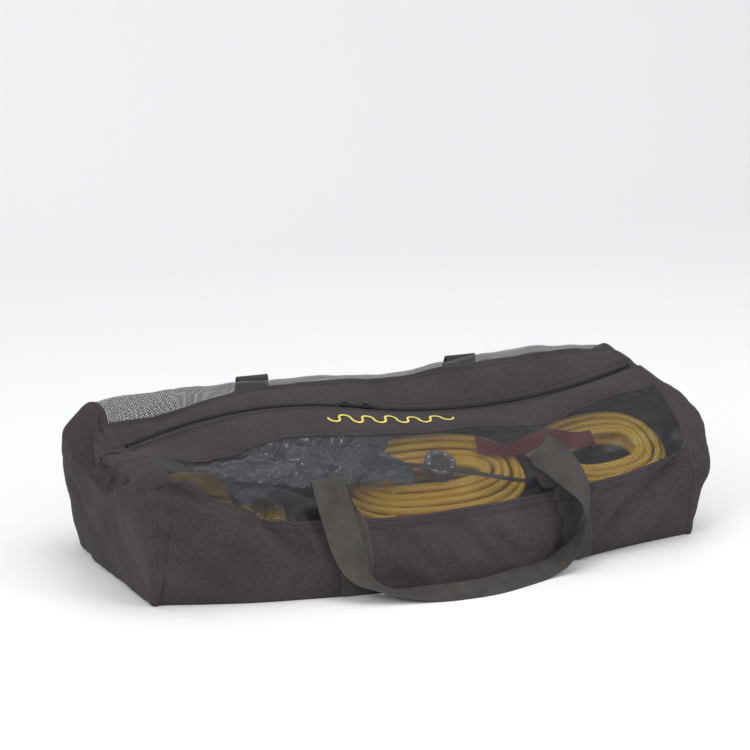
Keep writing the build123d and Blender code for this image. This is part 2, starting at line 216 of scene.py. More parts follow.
# %% [markdown]
# ## Finishes
# Cloth is a coarse black weave with a soft sheen, faded a little in patches. The net is
# coated thread, smoother than the cloth, so it glints. Webbing has ribs across it and a plain edge. Each finish
# reads the place on the object, or the piece's own UV map where its pattern has to follow a strap.

# %% Cloth, net and webbing
WEAVE, WEAVE_SLANTS = 4200, (0.35, 0.6)     # radians to a metre, and how far each yarn set leans
COLUMN_PITCH = 0.0034                       # the webbing's columns, across it


def cloth_finish(name, colour, lighter):
    paint = Paint(name, colour, 0.9, Sheen_Weight=0.03, Sheen_Roughness=0.5, Specular_IOR_Level=0.12)
    x, y, z = paint.axes(paint.place())
    warp, weft = ((x + y * WEAVE_SLANTS[0]) * WEAVE).wave(), ((z + y * WEAVE_SLANTS[1]) * WEAVE).wave()
    patch = paint.mottle(9.0)
    fine = paint.mottle(320.0, 2.0)
    mask = paint.span(patch * 0.4 + fine * 0.6, 0.36, 0.66)
    paint.set("Base Color", paint.blend(mask, colour, lighter))
    paint.set("Roughness", paint.span(fine, 0.3, 0.7, 0.78, 0.92))
    paint.relief(warp * weft * 0.3 + fine + paint.mottle(60.0) * 1.2, 0.0005, 0.55)
    return paint.material


def webbing_finish(name, colour, lighter, rib=0.0021):
    """Ribs run across the strap: its UV map is in metres, with V along it."""
    paint = Paint(name, colour, 0.7, Sheen_Weight=0.04, Sheen_Roughness=0.4, Specular_IOR_Level=0.2)
    u, v, _ = paint.axes(paint.uv())
    ribs = (v * (2 * pi / rib)).wave()
    columns = (u * (2 * pi / COLUMN_PITCH)).wave()
    twill = ribs * 0.7 + columns * 0.3
    wear = paint.mottle(40.0)
    paint.set("Base Color", paint.blend(paint.span(twill * 0.35 + wear, 0.15, 0.95), colour, lighter))
    paint.set("Roughness", paint.span(wear, 0.3, 0.7, 0.6, 0.8))
    paint.relief(twill, 0.0007, 0.7)
    return paint.material


def thread_finish(name, colour, darker, roughness=0.5, shine=0.25):
    paint = Paint(name, colour, roughness, Specular_IOR_Level=shine)
    fine = paint.mottle(700.0, 1.0)
    paint.set("Base Color", paint.blend(paint.span(fine, 0.35, 0.65), colour, darker))
    paint.relief(fine, 0.0002, 0.5)
    return paint.material


cloth = cloth_finish("cloth", (0.034, 0.028, 0.030), (0.061, 0.0515, 0.0555))
webbing = webbing_finish("webbing", (0.040, 0.036, 0.033), (0.085, 0.078, 0.072))
red_webbing = webbing_finish("red_webbing", (0.15, 0.006, 0.014), (0.24, 0.012, 0.024))
net_thread = thread_finish("net_thread", (0.026, 0.027, 0.031), (0.013, 0.013, 0.015), 0.34, 0.5)
seam_thread = thread_finish("seam_thread", (0.035, 0.030, 0.031), (0.020, 0.018, 0.019), 0.6)
gold_thread = thread_finish("gold_thread", (0.86, 0.74, 0.22), (0.62, 0.46, 0.07), 0.42)
print("soft finishes", len(bpy.data.materials))

# %% [markdown]
# The hose is glossy plastic with a thin clear coat, a slow change of tone along it, and dull scuffs. Brass, zinc
# and the valve's rings are metals whose fine scratches change the roughness more than the colour. Moulded plastic
# and vinyl share one finish, since vinyl is only smoother and more coated.

# %% Hose, metal, plastic and vinyl


def hose_finish():
    paint = Paint("hose", (0.78, 0.42, 0.02), 0.26, Coat_Weight=0.35, Coat_Roughness=0.12, Specular_IOR_Level=0.5)
    tone = paint.mottle(14.0)
    scuff = paint.span(paint.mottle(120.0, 4.0), 0.58, 0.75)
    paint.set("Base Color", paint.blend(paint.span(tone, 0.35, 0.65), (1.0, 0.66, 0.012), (0.95, 0.54, 0.008)))
    paint.set("Roughness", scuff * 0.3 + 0.22)
    paint.relief(paint.mottle(90.0), 0.0004, 0.4)
    return paint.material


def metal_finish(name, colour, roughness, metallic=1.0, scratch=0.2):
    paint = Paint(name, colour, roughness, Metallic=metallic)
    mark = paint.mottle(260.0, 5.0)
    paint.set("Roughness", paint.span(mark, 0.3, 0.75, roughness, min(1.0, roughness + scratch)))
    paint.set("Base Color", paint.blend(paint.span(mark, 0.5, 0.8), colour, [c * 0.7 for c in colour]))
    paint.relief(mark, 0.00015, 0.35)
    return paint.material


def moulded_finish(name, colour, roughness, coat=0.0):
    paint = Paint(name, colour, roughness, Coat_Weight=coat, Coat_Roughness=0.1, Specular_IOR_Level=0.5)
    grain = paint.mottle(420.0, 3.0)
    patch = paint.mottle(18.0)
    paint.set("Roughness", paint.span(grain, 0.3, 0.7, roughness * 0.8, roughness * 1.25))
    paint.set("Base Color", paint.blend(paint.span(patch, 0.3, 0.7), colour, [c * 1.5 + 0.004 for c in colour]))
    paint.relief(grain, 0.0002, 0.4)
    return paint.material


hose = hose_finish()
brass = metal_finish("brass", (0.72, 0.52, 0.24), 0.24)
bright_ring = metal_finish("bright_ring", (0.68, 0.68, 0.70), 0.12)
smoked_ring = metal_finish("smoked_ring", (0.20, 0.20, 0.21), 0.2)
black_zinc = metal_finish("black_zinc", (0.035, 0.035, 0.038), 0.3, 0.6)
black_plastic = moulded_finish("black_plastic", (0.022, 0.022, 0.025), 0.4)
coil_nylon = moulded_finish("coil_nylon", (0.018, 0.018, 0.020), 0.33)
vinyl = moulded_finish("vinyl", (0.040, 0.046, 0.058), 0.16, 0.9)

floor_paint = Paint("floor_paint", (0.90, 0.90, 0.905), 0.6)
floor_paint.set("Roughness", floor_paint.span(floor_paint.mottle(3.0), 0.3, 0.7, 0.55, 0.65))
print("finishes", len(bpy.data.materials))

# %% [markdown]
# ## The studio sweep
# The floor turns up into a backdrop through one large bend, so no horizon shows behind the bag. A grid is bent
# instead of joining two planes, because a smooth bend is then only a matter of where its rows lie.

# %% Floor and backdrop
SWEEP_START, SWEEP_RADIUS, SWEEP_HALF = 2.2, 2.0, 9.0


def new_piece(name, bm, material):
    """Turns a bmesh into an object at the origin."""
    mesh = bpy.data.meshes.new(name)
    bm.to_mesh(mesh)
    bm.free()
    piece = bpy.data.objects.new(name, mesh)
    scene.collection.objects.link(piece)
    mesh.materials.append(material)
    for face in mesh.polygons:
        face.use_smooth = True
    return piece


sweep = bmesh.new()
bmesh.ops.create_grid(sweep, x_segments=2, y_segments=160, size=SWEEP_HALF)
for vert in sweep.verts:
    beyond = vert.co.y - SWEEP_START
    if beyond > 0:
        turned = min(beyond / SWEEP_RADIUS, pi / 2)
        vert.co.y = SWEEP_START + SWEEP_RADIUS * sin(turned)
        vert.co.z = SWEEP_RADIUS * (1 - cos(turned)) + max(0, beyond - SWEEP_RADIUS * pi / 2)
floor = new_piece("floor", sweep, floor_paint.material)
print("floor faces", len(floor.data.polygons))

# %% [markdown]
# ## Coils of hose
# Three lengths of hose are each wound into a coil, with a brass fitting at both ends. A coil could be a stack of
# rings, but a real hose is one line that can be followed from end to end. So it is one open NURBS curve whose
# control points run round a rounded oblong, a turn at a time. The turns lie side by side across the coil's width
# and in layers through its depth, and each is nudged, because hand-wound turns never lie quite true.

# %% Where each coil lies
MM = 0.001
HOSE_DIAMETER = 12.0 * MM
FITTING_LENGTH, FITTING_DIAMETER, FITTING_CLEARANCE = 34 * MM, 17 * MM, 0.3 * MM
POINTS_PER_TURN, TURN_GAP = 16, 0.5 * MM
OBLONG_POWER = 0.8        # 1 is an ellipse, and less is squarer
NUDGE, FIRST_ANGLE = 1.1 * MM, radians(215)

# Millimetres and degrees: the centre, the half length and half width, the width and depth of the wound band, how
# far it leans back, how far it rises to +X, and the hose's whole length in metres.
COIL_SIZES = ("centre", "half", "band", "depth", "tilt", "roll", "length")
coils = {
    "left": dict(zip(COIL_SIZES, ((-305, -80, 100), (104, 74), 50, 36, 30, -10, 5.1))),
    "middle": dict(zip(COIL_SIZES, ((12, -104, 115), (164, 86), 72, 40, 34, 0, 9.1))),
    "right": dict(zip(COIL_SIZES, ((312, -92, 122), (106, 80), 50, 40, 32, 5, 5.4))),
}


def tilted(centre, tilt, roll=0.0):
    """Matrix that takes a flat piece to where it leans back by tilt and rises to +X by roll."""
    lengthways = Vector((cos(radians(roll)), 0, sin(radians(roll))))
    normal = lengthways.cross(Vector((0, cos(radians(tilt)), sin(radians(tilt)))))
    turn = Matrix((lengthways, normal.cross(lengthways), normal)).transposed().to_4x4()
    return Matrix.Translation(Vector(centre) * MM) @ turn


def oblong(angle, half_along, half_across):
    """Point of a rounded oblong at an angle, from a superellipse."""
    c, s = cos(angle), sin(angle)
    x, y = half_along * abs(c) ** OBLONG_POWER, half_across * abs(s) ** OBLONG_POWER
    return (x if c > 0 else -x), (y if s > 0 else -y)


print("coils", {name: coil["centre"] for name, coil in coils.items()})

# %% The path of one coil


def coil_route(coil):
    """The control points of a coil of hose, with its two ends led to the fittings."""
    lie = tilted(coil["centre"], coil["tilt"], coil["roll"])
    half_along, half_across = (h * MM for h in coil["half"])
    band, depth = coil["band"] * MM, coil["depth"] * MM
    columns = int(band / (HOSE_DIAMETER + TURN_GAP))
    layers = int(depth / HOSE_DIAMETER + 0.2)
    column_step, layer_step = (band - HOSE_DIAMETER) / (columns - 1), (depth - HOSE_DIAMETER) / (layers - 1)
    end_y, end_z = band / 2 - half_across, -(depth + FITTING_DIAMETER) / 2 - FITTING_CLEARANCE
    reach = 1.5 * FITTING_LENGTH
    route = [(-reach, end_y, end_z), (-reach - 0.022, end_y + 0.003, end_z + 0.004)]
    for turn in range(columns * layers):
        layer, column = divmod(turn, columns)
        column = column if layer % 2 == 0 else columns - 1 - column
        nudge = rng.normal(0, NUDGE, 4)
        for i in range(POINTS_PER_TURN):
            share = i / POINTS_PER_TURN
            later = column + share if layer % 2 == 0 else column - share
            inset = HOSE_DIAMETER / 2 + column_step * min(max(later, 0), columns - 1)
            angle = FIRST_ANGLE - 2 * pi * share
            x, y = oblong(angle, half_along - inset, half_across - inset)
            height = -depth / 2 + HOSE_DIAMETER / 2 + layer_step * layer
            if (column == columns - 1 and layer % 2 == 0) or (column == 0 and layer % 2 == 1):
                height += layer_step * share * (layer < layers - 1)
            wander = sin(angle * 2 + nudge[2] * 900) * nudge[3] * 1.6
            route.append((x + nudge[0] + wander, y + nudge[1] * 0.6, height + wander * 0.6))
    last = route[-1]
    route += [
        (last[0] - 0.012, last[1] - 0.016, last[2] - 0.006),
        (-half_along * 0.5, -half_across + 0.004, depth * 0.2),
        (half_along * 0.30, -half_across - 0.004, -depth * 0.25),
        (reach + 0.034, end_y - 0.012, end_z + 0.006),
        (reach + 0.040, end_y + 0.002, end_z - 0.002),
        (reach + 0.018, end_y, end_z),
        (reach, end_y, end_z),
    ]
    return [lie @ Vector(point) for point in route]


# %% [markdown]
# Each coil becomes a round tube of one diameter. Its length is what the curve itself measures.

# %% Wind the hose
for end_name, coil in coils.items():
    route = coil_route(coil)
    curve = bpy.data.curves.new(f"{end_name}_hose", "CURVE")
    curve.dimensions = "3D"
    spline = curve.splines.new("NURBS")
    spline.points.add(len(route) - 1)
    for point, place in zip(spline.points, route):
        point.co = (*place, 1)
    spline.order_u, spline.use_endpoint_u = 3, True
    spline.resolution_u = 4
    curve.bevel_depth, curve.bevel_resolution = HOSE_DIAMETER / 2, 3
    curve.materials.append(hose)
    piece = bpy.data.objects.new(f"{end_name}_hose", curve)
    scene.collection.objects.link(piece)
    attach(piece, "bag")
    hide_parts(f"{end_name}_hose_coil")
    measured = sum(s.calc_length() for s in curve.splines)
    print(end_name, "hose", len(route), "points, about", round(measured, 2), "m")


# %% [markdown]
# The fittings are turned metal, and the mechanical model's shapes are right for them. Only their edges are softened,
# because a real edge always catches a line of light.

# %% Finish the fittings


def soften_edges(piece, width, angle):
    """Bevels the edges sharper than an angle in degrees."""
    edge = piece.modifiers.new("edges", "BEVEL")
    edge.width, edge.segments, edge.limit_method, edge.angle_limit = width, 2, "ANGLE", radians(angle)


def refinish(node, material, bevel):
    """Gives a carried-over node its finish, and softens its edges."""
    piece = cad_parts[node]
    piece.data.materials.clear()
    piece.data.materials.append(material)
    soften_edges(piece, bevel, 35)
    print(node, "has", material.name)


for end_name in coils:
    for which in ("inlet", "outlet"):
        refinish(f"{end_name}_hose_{which}_fitting", brass, 0.6 * MM)

# %% [markdown]
# ## The bag's form
# Every panel of the bag is a part of one surface, so that neighbours meet along their seams however the bag sags.
# The surface is a stack of sections across the bag. A section goes from the front edge of the base up the cloth
# side, over the net, the band and the zip, and down the back. It is held as a grid of points, which is then
# creased and roughened, and each panel is a slice of that grid. Modelling every panel alone would be quicker, but
# their seams would gape.

# %% Lines that the sections pass through
HALF_LENGTH = 0.435
MIDDLE_HEIGHT = 0.110
CROWN_X, CROWN_Z, CROWN_RADIUS = -0.190, -0.472, 0.700      # the zip's high arc, and then its sagging one
SAG_X, SAG_Z, SAG_RADIUS = 0.140286, 1.195606, 1.000
ARCS_MEET = -0.054


def toward_ends(x, middle, end):
    """A size that changes from its middle value to its value at the bag's ends."""
    return middle + (end - middle) * np.minimum(np.abs(x) / HALF_LENGTH, 1.05) ** 3


def zip_height(x):
    """Height of the zip's coils at x."""
    x = np.asarray(x, float)
    crown = CROWN_Z + np.sqrt(np.maximum(CROWN_RADIUS**2 - (x - CROWN_X) ** 2, 0))
    sag = SAG_Z - np.sqrt(np.maximum(SAG_RADIUS**2 - (x - SAG_X) ** 2, 0))
    return np.where(x < ARCS_MEET, crown, sag)


def through(x, table):
    """Smooth line through a table of (x, value), in millimetres, read at x in metres."""
    places, values = np.array(table, float).T * MM
    slopes = np.gradient(values, places)
    i = np.clip(np.searchsorted(places, x) - 1, 0, len(places) - 2)
    step = places[i + 1] - places[i]
    t = np.clip((x - places[i]) / step, 0, 1)
    a, b = 2 * t**3 - 3 * t**2 + 1, t**3 - 2 * t**2 + t
    return a * values[i] + b * step * slopes[i] + (1 - a) * values[i + 1] + (t**3 - t**2) * step * slopes[i + 1]


# Each table holds (x, value) in millimetres: the front edge's Y, and the heights of the other lines.
FRONT_BASE = [(-455, -166), (-426, -172), (-370, -192), (-307, -212), (-192, -234), (-90, -248), (18, -252),
              (110, -241), (201, -215), (324, -180), (423, -160), (455, -154)]
FRONT_BAND = [(-455, 200), (-440, 196), (-397, 184), (-353, 177), (-300, 181), (-266, 190), (-202, 202), (-151, 201),
              (-51, 191), (60, 185), (128, 184), (210, 177), (251, 182), (292, 196), (335, 208), (418, 217), (455, 219)]
BACK_BAND = [(-455, 208), (-400, 204), (-352, 206), (-300, 216), (-249, 227), (-208, 234), (-150, 237), (-60, 236),
             (30, 232), (120, 237), (200, 240), (290, 246), (354, 246), (400, 244), (455, 240)]
BACK_RIDGE = [(-455, 216), (-420, 230), (-354, 241), (-294, 243), (-237, 242), (-150, 240), (-60, 238), (30, 232),
              (120, 238), (229, 247), (290, 251), (354, 250), (400, 246), (455, 236)]
LOWER_SEAM = [(-455, 186), (-400, 176), (-380, 162), (-321, 132), (-245, 104), (-200, 101), (-93, 94), (15, 95),
              (90, 98), (171, 104), (239, 109), (342, 121), (400, 134), (455, 146)]

# Cells of the surface between one line and the next, from the front base edge to the back one.
CELLS = {"front_lower": 26, "front_net": 32, "front_band": 12, "zip": 4, "back_band": 12, "back_net": 40,
         "back_lower": 26}
BAND_Y, ZIP_Y, RIDGE_Y, BASE_Z = 0.075, 0.0085, 0.108, 0.0008
print("zip heights", zip_height([-0.4, 0, 0.4]).round(3))

# %% One section of the bag


def bowed(a, b, bow, cells, last=False):
    """Points from a to b on a low arch, each (y, z); the last is left to the next piece."""
    t = np.linspace(0, 1, cells + 1)[: None if last else -1, None]
    run = b - a
    side = np.array([run[1], -run[0]]) / hypot(*run)
    if side @ ((a + b) / 2 - (0, MIDDLE_HEIGHT)) < 0:
        side = -side
    return a + run * t + side * 4 * bow * t * (1 - t)


def section(x):
    """One section of the bag at x, as (y, z) points from the front base edge to the back one."""
    def height(table):
        return float(through(x, table))

    base_y, seam_y, zip_z = toward_ends(x, 0.208, 0.150), toward_ends(x, 0.210, 0.184), float(zip_height(x))
    seam_z, front_band, back_band = height(LOWER_SEAM), (-BAND_Y, height(FRONT_BAND)), (BAND_Y, height(BACK_BAND))
    ridge, ridge_cells = (RIDGE_Y, height(BACK_RIDGE)), CELLS["back_net"] // 5
    groove, lip = zip_z - 0.0045, zip_z - 0.0006
    runs = [
        ((height(FRONT_BASE), BASE_Z), (-seam_y, seam_z), 0.012, CELLS["front_lower"]),
        ((-seam_y, seam_z), front_band, toward_ends(x, 0.017, 0.012), CELLS["front_net"]),
        (front_band, (-ZIP_Y, lip), 0.0025, CELLS["front_band"]),
        ((-ZIP_Y, groove), (ZIP_Y, groove), 0.0, CELLS["zip"]),
        ((ZIP_Y, lip), back_band, 0.0025, CELLS["back_band"]),
        (back_band, ridge, 0.004, ridge_cells),
        (ridge, (seam_y, seam_z), toward_ends(x, 0.024, 0.018), CELLS["back_net"] - ridge_cells),
        ((seam_y, seam_z), (base_y, BASE_Z), 0.017, CELLS["back_lower"]),
    ]
    return np.concatenate([bowed(np.array(a), np.array(b), bow, cells, last=i == len(runs) - 1)
                           for i, (a, b, bow, cells) in enumerate(runs)])


starts, total = {}, 0
for panel_name, cells in CELLS.items():
    starts[panel_name] = total
    total += cells
print("points in a section", len(section(0.0)))

# %% [markdown]
# The sections are stacked along the bag. Its end seams lean inwards as they rise, so the zip's rows are then set
# back onto the zip's arcs, and the kinks where panels meet are rounded off.

# %% Stack the sections
STATIONS, END_STATION = 181, 0.430
END_LEAN, LEAN_HEIGHT = 0.035, 0.17
stations = np.linspace(-END_STATION, END_STATION, STATIONS)
skin = np.zeros((STATIONS, total + 1, 3))
for i, station in enumerate(stations):
    y, z = section(station).T
    skin[i] = np.stack([station * (1 - END_LEAN * np.minimum(z / LEAN_HEIGHT, 1)), y, z], axis=1)
for j in range(starts["zip"] - 1, starts["zip"] + CELLS["zip"] + 2):
    skin[:, j, 2] += zip_height(skin[:, j, 0]) - zip_height(stations)
for _ in range(3):
    inner = (skin[:, :-2] + 2 * skin[:, 1:-1] + skin[:, 2:]) / 4
    keep = np.zeros(total - 1)
    for panel_name in ("front_net", "front_band", "back_band", "back_net", "back_lower"):
        near = np.abs(np.arange(1, total) - starts[panel_name])
        keep[near <= 3] = 1
    keep[starts["zip"] - 3 : starts["zip"] + CELLS["zip"] + 2] = 0
    skin[:, 1:-1] += (inner - skin[:, 1:-1]) * keep[None, :, None]
print("surface", skin.shape[:2])

# %% [markdown]
# ## Creases and sag
# A crease is a line in space with a depth and a width. Points of the surface near it move in, and those a little
# further away move out, as the cloth beside a fold does. The long valley from the left end to the net is the
# deepest. Small random swells over everything keep the panels from looking pressed.

# %% Crease the surface


def outward(grid):
    """Unit normals of a grid of points, away from the bag's middle."""
    du, dv = np.gradient(grid, axis=0), np.gradient(grid, axis=1)
    normal = np.cross(du, dv)
    normal /= np.maximum(np.linalg.norm(normal, axis=2, keepdims=True), 1e-12)
    away = grid - (0, 0, MIDDLE_HEIGHT)
    away[..., 0] *= 0.25
    flip = np.sign((normal * away).sum(2, keepdims=True).mean())
    return normal * flip


def from_line(points, line):
    """Distance of each point from a polyline, and how far along it the nearest place is, from 0 to 1."""
    line = np.array(line, float) * MM
    lengths = np.linalg.norm(np.diff(line, axis=0), axis=1)
    before = np.concatenate([[0], np.cumsum(lengths)])
    best, where = np.full(points.shape[:-1], 9.0), np.zeros(points.shape[:-1])
    for a, b, start, length in zip(line, line[1:], before, lengths):
        t = np.clip(((points - a) @ (b - a)) / length**2, 0, 1)
        d = np.linalg.norm(points - a - t[..., None] * (b - a), axis=-1)
        nearer = d < best
        best, where = np.where(nearer, d, best), np.where(nearer, (start + t * length) / before[-1], where)
    return best, where


# Each crease: the side it lies on, its line, its depth and its half width, in millimetres; a negative depth is a
# ridge. A line on the front or back holds (x, z), one on an end holds (y, z), and one round a corner all three.
creases = [
    ("corner", [(-462, 150, 174), (-464, 60, 172), (-462, -20, 168), (-456, -100, 168), (-438, -152, 172),
                (-412, -182, 176)], 10, 8),
    ("corner", [(-436, -155, 176), (-408, -186, 174), (-372, -204, 158), (-340, -208, 146)], 11, 9),
    ("front", [(-378, 164), (-330, 150), (-285, 128), (-236, 108)], 9, 10),
    ("front", [(-436, 112), (-413, 98), (-385, 86)], 5, 8),
    ("front", [(-290, 122), (-272, 108), (-248, 82), (-222, 58)], 11, 10),
    ("front", [(-236, 106), (-226, 80), (-220, 58)], 7, 8),
    ("front", [(-425, 80), (-370, 50), (-330, 20)], 5, 16),
    ("front", [(-350, 96), (-310, 60), (-280, 30)], 5, 15),
    ("front", [(-110, 84), (-80, 62), (-50, 30)], 5, 10),
    ("front", [(-80, 86), (-52, 55), (-30, 18)], 6, 9),
    ("front", [(-36, 88), (-8, 58), (14, 22)], -4, 9),
    ("front", [(6, 90), (34, 62), (60, 26)], 6, 9),
    ("front", [(48, 86), (84, 50), (112, 18)], 6, 9),
    ("front", [(100, 92), (130, 60), (150, 28)], -4, 10),
    ("front", [(432, 156), (390, 128), (345, 98), (298, 68), (242, 24)], 11, 12),
    ("front", [(440, 120), (405, 92), (360, 62), (320, 26)], -6, 14),
    ("front", [(300, 108), (270, 84), (235, 60)], 5, 12),
    ("front", [(235, 140), (290, 150), (360, 158), (420, 158)], 8, 12),
    ("front", [(-300, 172), (-240, 150), (-180, 128)], 5, 12),
    ("front", [(-230, 190), (-190, 176), (-160, 150)], -4, 10),
    ("front", [(-90, 176), (-40, 160), (0, 150)], 5, 12),
    ("right", [(-30, 190), (-100, 176), (-150, 160)], 8, 14),
    ("left", [(150, 110), (60, 84), (-20, 60)], 8, 22),
    ("left", [(30, 150), (10, 126), (-20, 104)], 5, 15),
    ("left", [(-90, 150), (-70, 110)], -5, 20),
    ("right", [(60, 170), (0, 130), (-60, 100), (-120, 90)], 8, 18),
    ("right", [(90, 90), (20, 60), (-60, 40)], 6, 16),
    ("back", [(-300, 96), (-260, 60), (-240, 24)], 6, 12),
    ("back", [(-60, 84), (-40, 50), (-10, 22)], 6, 11),
    ("back", [(120, 86), (150, 52), (160, 20)], 6, 11),
    ("back", [(330, 110), (300, 70), (290, 30)], 7, 13),
    ("back", [(-200, 150), (-100, 128), (20, 120)], 6, 13),
    ("back", [(60, 140), (180, 134), (300, 140)], 6, 13),
]
# The axis that a side faces, its sign, and how far out it starts, in metres.
SIDES = {"front": (1, -1, 0.10), "back": (1, 1, 0.14), "left": (0, -1, 0.40), "right": (0, 1, 0.40)}

SWELLS = [(7.0, 3.2, 0), (13.0, 5.0, 1), (21.0, 1.8, 0), (34.0, 2.2, 1), (60.0, 0.5, 0)]    # scale, mm, folded
print("creases", len(creases))


def crease(grid):
    """How far each point of a grid moves outwards, from every crease near it and from small swells."""
    move = np.zeros(grid.shape[:2])
    for side, line, depth, width in creases:
        here, points, line = 1.0, grid, np.array(line, float)
        if side in SIDES:
            axis, sign, beyond = SIDES[side]
            here = np.clip((grid[..., axis] * sign - beyond) / 0.02, 0, 1)
            points, line = grid.copy(), np.insert(line, axis, 0, axis=1)
            points[..., axis] = 0
        distance, place = from_line(points, line)
        fade = np.clip(np.minimum(place, 1 - place) * 5, 0.15, 1)
        near = distance / (width * MM)
        move += here * fade * depth * MM * (0.45 * np.exp(-((near - 1.9) ** 2)) - np.exp(-(near**1.3)))
    for scale, size, sharp in SWELLS:
        swell = np.array([noise.noise(Vector(p) * scale + Vector((3, 5, scale))) for p in grid.reshape(-1, 3)])
        swell = np.sqrt(swell**2 + 0.0004) - 0.15 if sharp else swell
        move += size * MM * swell.reshape(grid.shape[:2])
    return move


# %% Move the surface


def ease_at(columns, reach):
    """1 away from the given columns of the surface, falling to 0 on them."""
    gap = np.min([np.abs(np.arange(total + 1) - j) for j in columns], axis=0)
    return np.clip(gap / reach, 0, 1)


FLOOR_GAP = 0.6 * MM
skin_normal = outward(skin)
move = crease(skin)
hold = ease_at([0, total], 4) * ease_at([starts["zip"] + 1, starts["zip"] + CELLS["zip"] - 1], 7)
band_part = np.ones(total + 1)
band_part[starts["front_band"] : starts["back_net"]] = 0.6
skin += skin_normal * (move * hold * band_part)[..., None]
skin[..., 2] = np.maximum(skin[..., 2], FLOOR_GAP)
print("surface reaches", skin.min((0, 1)).round(3), skin.max((0, 1)).round(3))

# %% [markdown]
# An end panel is a stack of rings, each the bag's whole outline, that close in from the end seam to the middle of
# the end. A high power of a circle makes the end flat with a rounded rim, as stuffed cloth is.

# %% The two ends close the surface
RINGS, BASE_CELLS = 26, 30
ROUNDING = 5.5
RIM_REACH, REACH, FARTHEST = 0.448, {"left": 0.464, "right": 0.474}, (-0.474, 0.482)


def end_cap(side):
    """Rings from an end seam to the middle of the end, each the whole outline of the bag, base included."""
    rim = skin[-1 if side > 0 else 0]
    base = rim[-1] + (rim[0] - rim[-1]) * np.linspace(0, 1, BASE_CELLS + 1)[1:, None]
    outline = np.concatenate([rim, base])
    centre = np.array([0, 0.0, MIDDLE_HEIGHT + 0.01])
    end_name = "left" if side < 0 else "right"
    high = np.clip((outline[:, 2:] - 0.02) / 0.13, 0, 1)
    top = np.clip((outline[:, 2:] - 0.185) / 0.05, 0, 1)
    reach = RIM_REACH + (REACH[end_name] - RIM_REACH) * high - 0.040 * top - np.abs(outline[:, :1])
    cap = []
    for t in np.linspace(0, 1, RINGS + 1):
        angle = t * pi / 2
        power = 2 / ROUNDING
        out, share = sin(angle) ** power, cos(angle) ** power if t < 1 else 0.0
        ring = centre + (outline - centre) * share
        ring[:, :1] = side * (np.abs(outline[:, :1]) + reach * out)
        cap.append(ring)
    cap = np.array(cap)
    normal = np.cross(np.gradient(cap, axis=0), np.gradient(cap, axis=1))
    normal /= np.maximum(np.linalg.norm(normal, axis=2, keepdims=True), 1e-9)
    normal[-3:] = (side, 0, 0)
    normal *= np.sign((normal * (cap - (0, 0, MIDDLE_HEIGHT))).sum(2).mean())
    ease = np.clip(np.arange(RINGS + 1) / 2, 0, 1)[:, None]
    on_top = np.clip((cap[..., 2] - 0.200) / 0.02, 0, 1) * np.clip((0.10 - np.abs(cap[..., 1])) / 0.04, 0, 1)
    cap += normal * (crease(cap) * ease * (1 - 0.85 * on_top))[..., None]
    cap[-1] = cap[-1].mean(0)
    cap[..., 2] = np.maximum(cap[..., 2], FLOOR_GAP)
    cap[..., 0] = np.clip(cap[..., 0], *FARTHEST)
    return cap


end_caps = {"left": end_cap(-1), "right": end_cap(1)}
print("ends reach", [cap[-1, 0].round(3) for cap in end_caps.values()])

# %% [markdown]
# ## Reading a panel anywhere
# A panel is a slice of the surface. Its edges, stitches, straps and threads have to lie on it, so a panel can be
# read at any place (u, v), each from 0 to 1, with a height above it. Between its grid points it is a smooth curve.

# %% Panels of the surface


def spline_weights(t):
    return np.stack([-0.5 * t + t**2 - 0.5 * t**3, 1 - 2.5 * t**2 + 1.5 * t**3,
                     0.5 * t + 2 * t**2 - 1.5 * t**3, -0.5 * t**2 + 0.5 * t**3])


class Panel:
    """A sheet of the bag, held as a grid of points."""

    def __init__(self, grid):
        self.grid = grid

    def plain(self, u, v):
        """Points of the panel at u along it and v across it."""
        rows, columns = self.grid.shape[:2]
        a, b = np.clip(u, 0, 1) * (rows - 1), np.clip(v, 0, 1) * (columns - 1)
        i, j = np.clip(np.floor(a).astype(int), 0, rows - 2), np.clip(np.floor(b).astype(int), 0, columns - 2)
        wu, wv = spline_weights(a - i), spline_weights(b - j)
        found = 0
        for p in range(4):
            for q in range(4):
                corner = self.grid[np.clip(i + p - 1, 0, rows - 1), np.clip(j + q - 1, 0, columns - 1)]
                found = found + corner * (wu[p] * wv[q])[..., None]
        return found

    def at(self, u, v, out=0.0):
        """Points above the panel by out, in metres."""
        u, v = np.broadcast_arrays(np.asarray(u, float), np.asarray(v, float))
        place = self.plain(u, v)
        step = 0.004
        du = self.plain(np.minimum(u + step, 1), v) - self.plain(np.maximum(u - step, 0), v)
        dv = self.plain(u, np.minimum(v + step, 1)) - self.plain(u, np.maximum(v - step, 0))
        normal = np.cross(du, dv)
        normal /= np.maximum(np.linalg.norm(normal, axis=-1, keepdims=True), 1e-12)
        away = place - (0, 0, MIDDLE_HEIGHT)
        away[..., 0] *= 0.25
        normal *= np.where((normal * away).sum(-1, keepdims=True) < 0, -1, 1)
        return place + normal * np.asarray(out)[..., None]

    def size(self):
        """Mean length and mean width."""
        length = np.linalg.norm(np.diff(self.grid, axis=0), axis=2).sum(0).mean()
        width = np.linalg.norm(np.diff(self.grid, axis=1), axis=2).sum(1).mean()
        return float(length), float(width)


# %% Cut the surface into panels
panels = {}
for panel_name, cells in CELLS.items():
    panels[panel_name] = Panel(skin[:, starts[panel_name] : starts[panel_name] + cells + 1].copy())
for end_name, cap in end_caps.items():
    panels[f"{end_name}_end"] = Panel(cap)
panels["base"] = Panel(np.linspace(skin[:, 0], skin[:, -1], 41).transpose(1, 0, 2))
for panel_name, panel in panels.items():
    print(panel_name, [round(s, 3) for s in panel.size()])

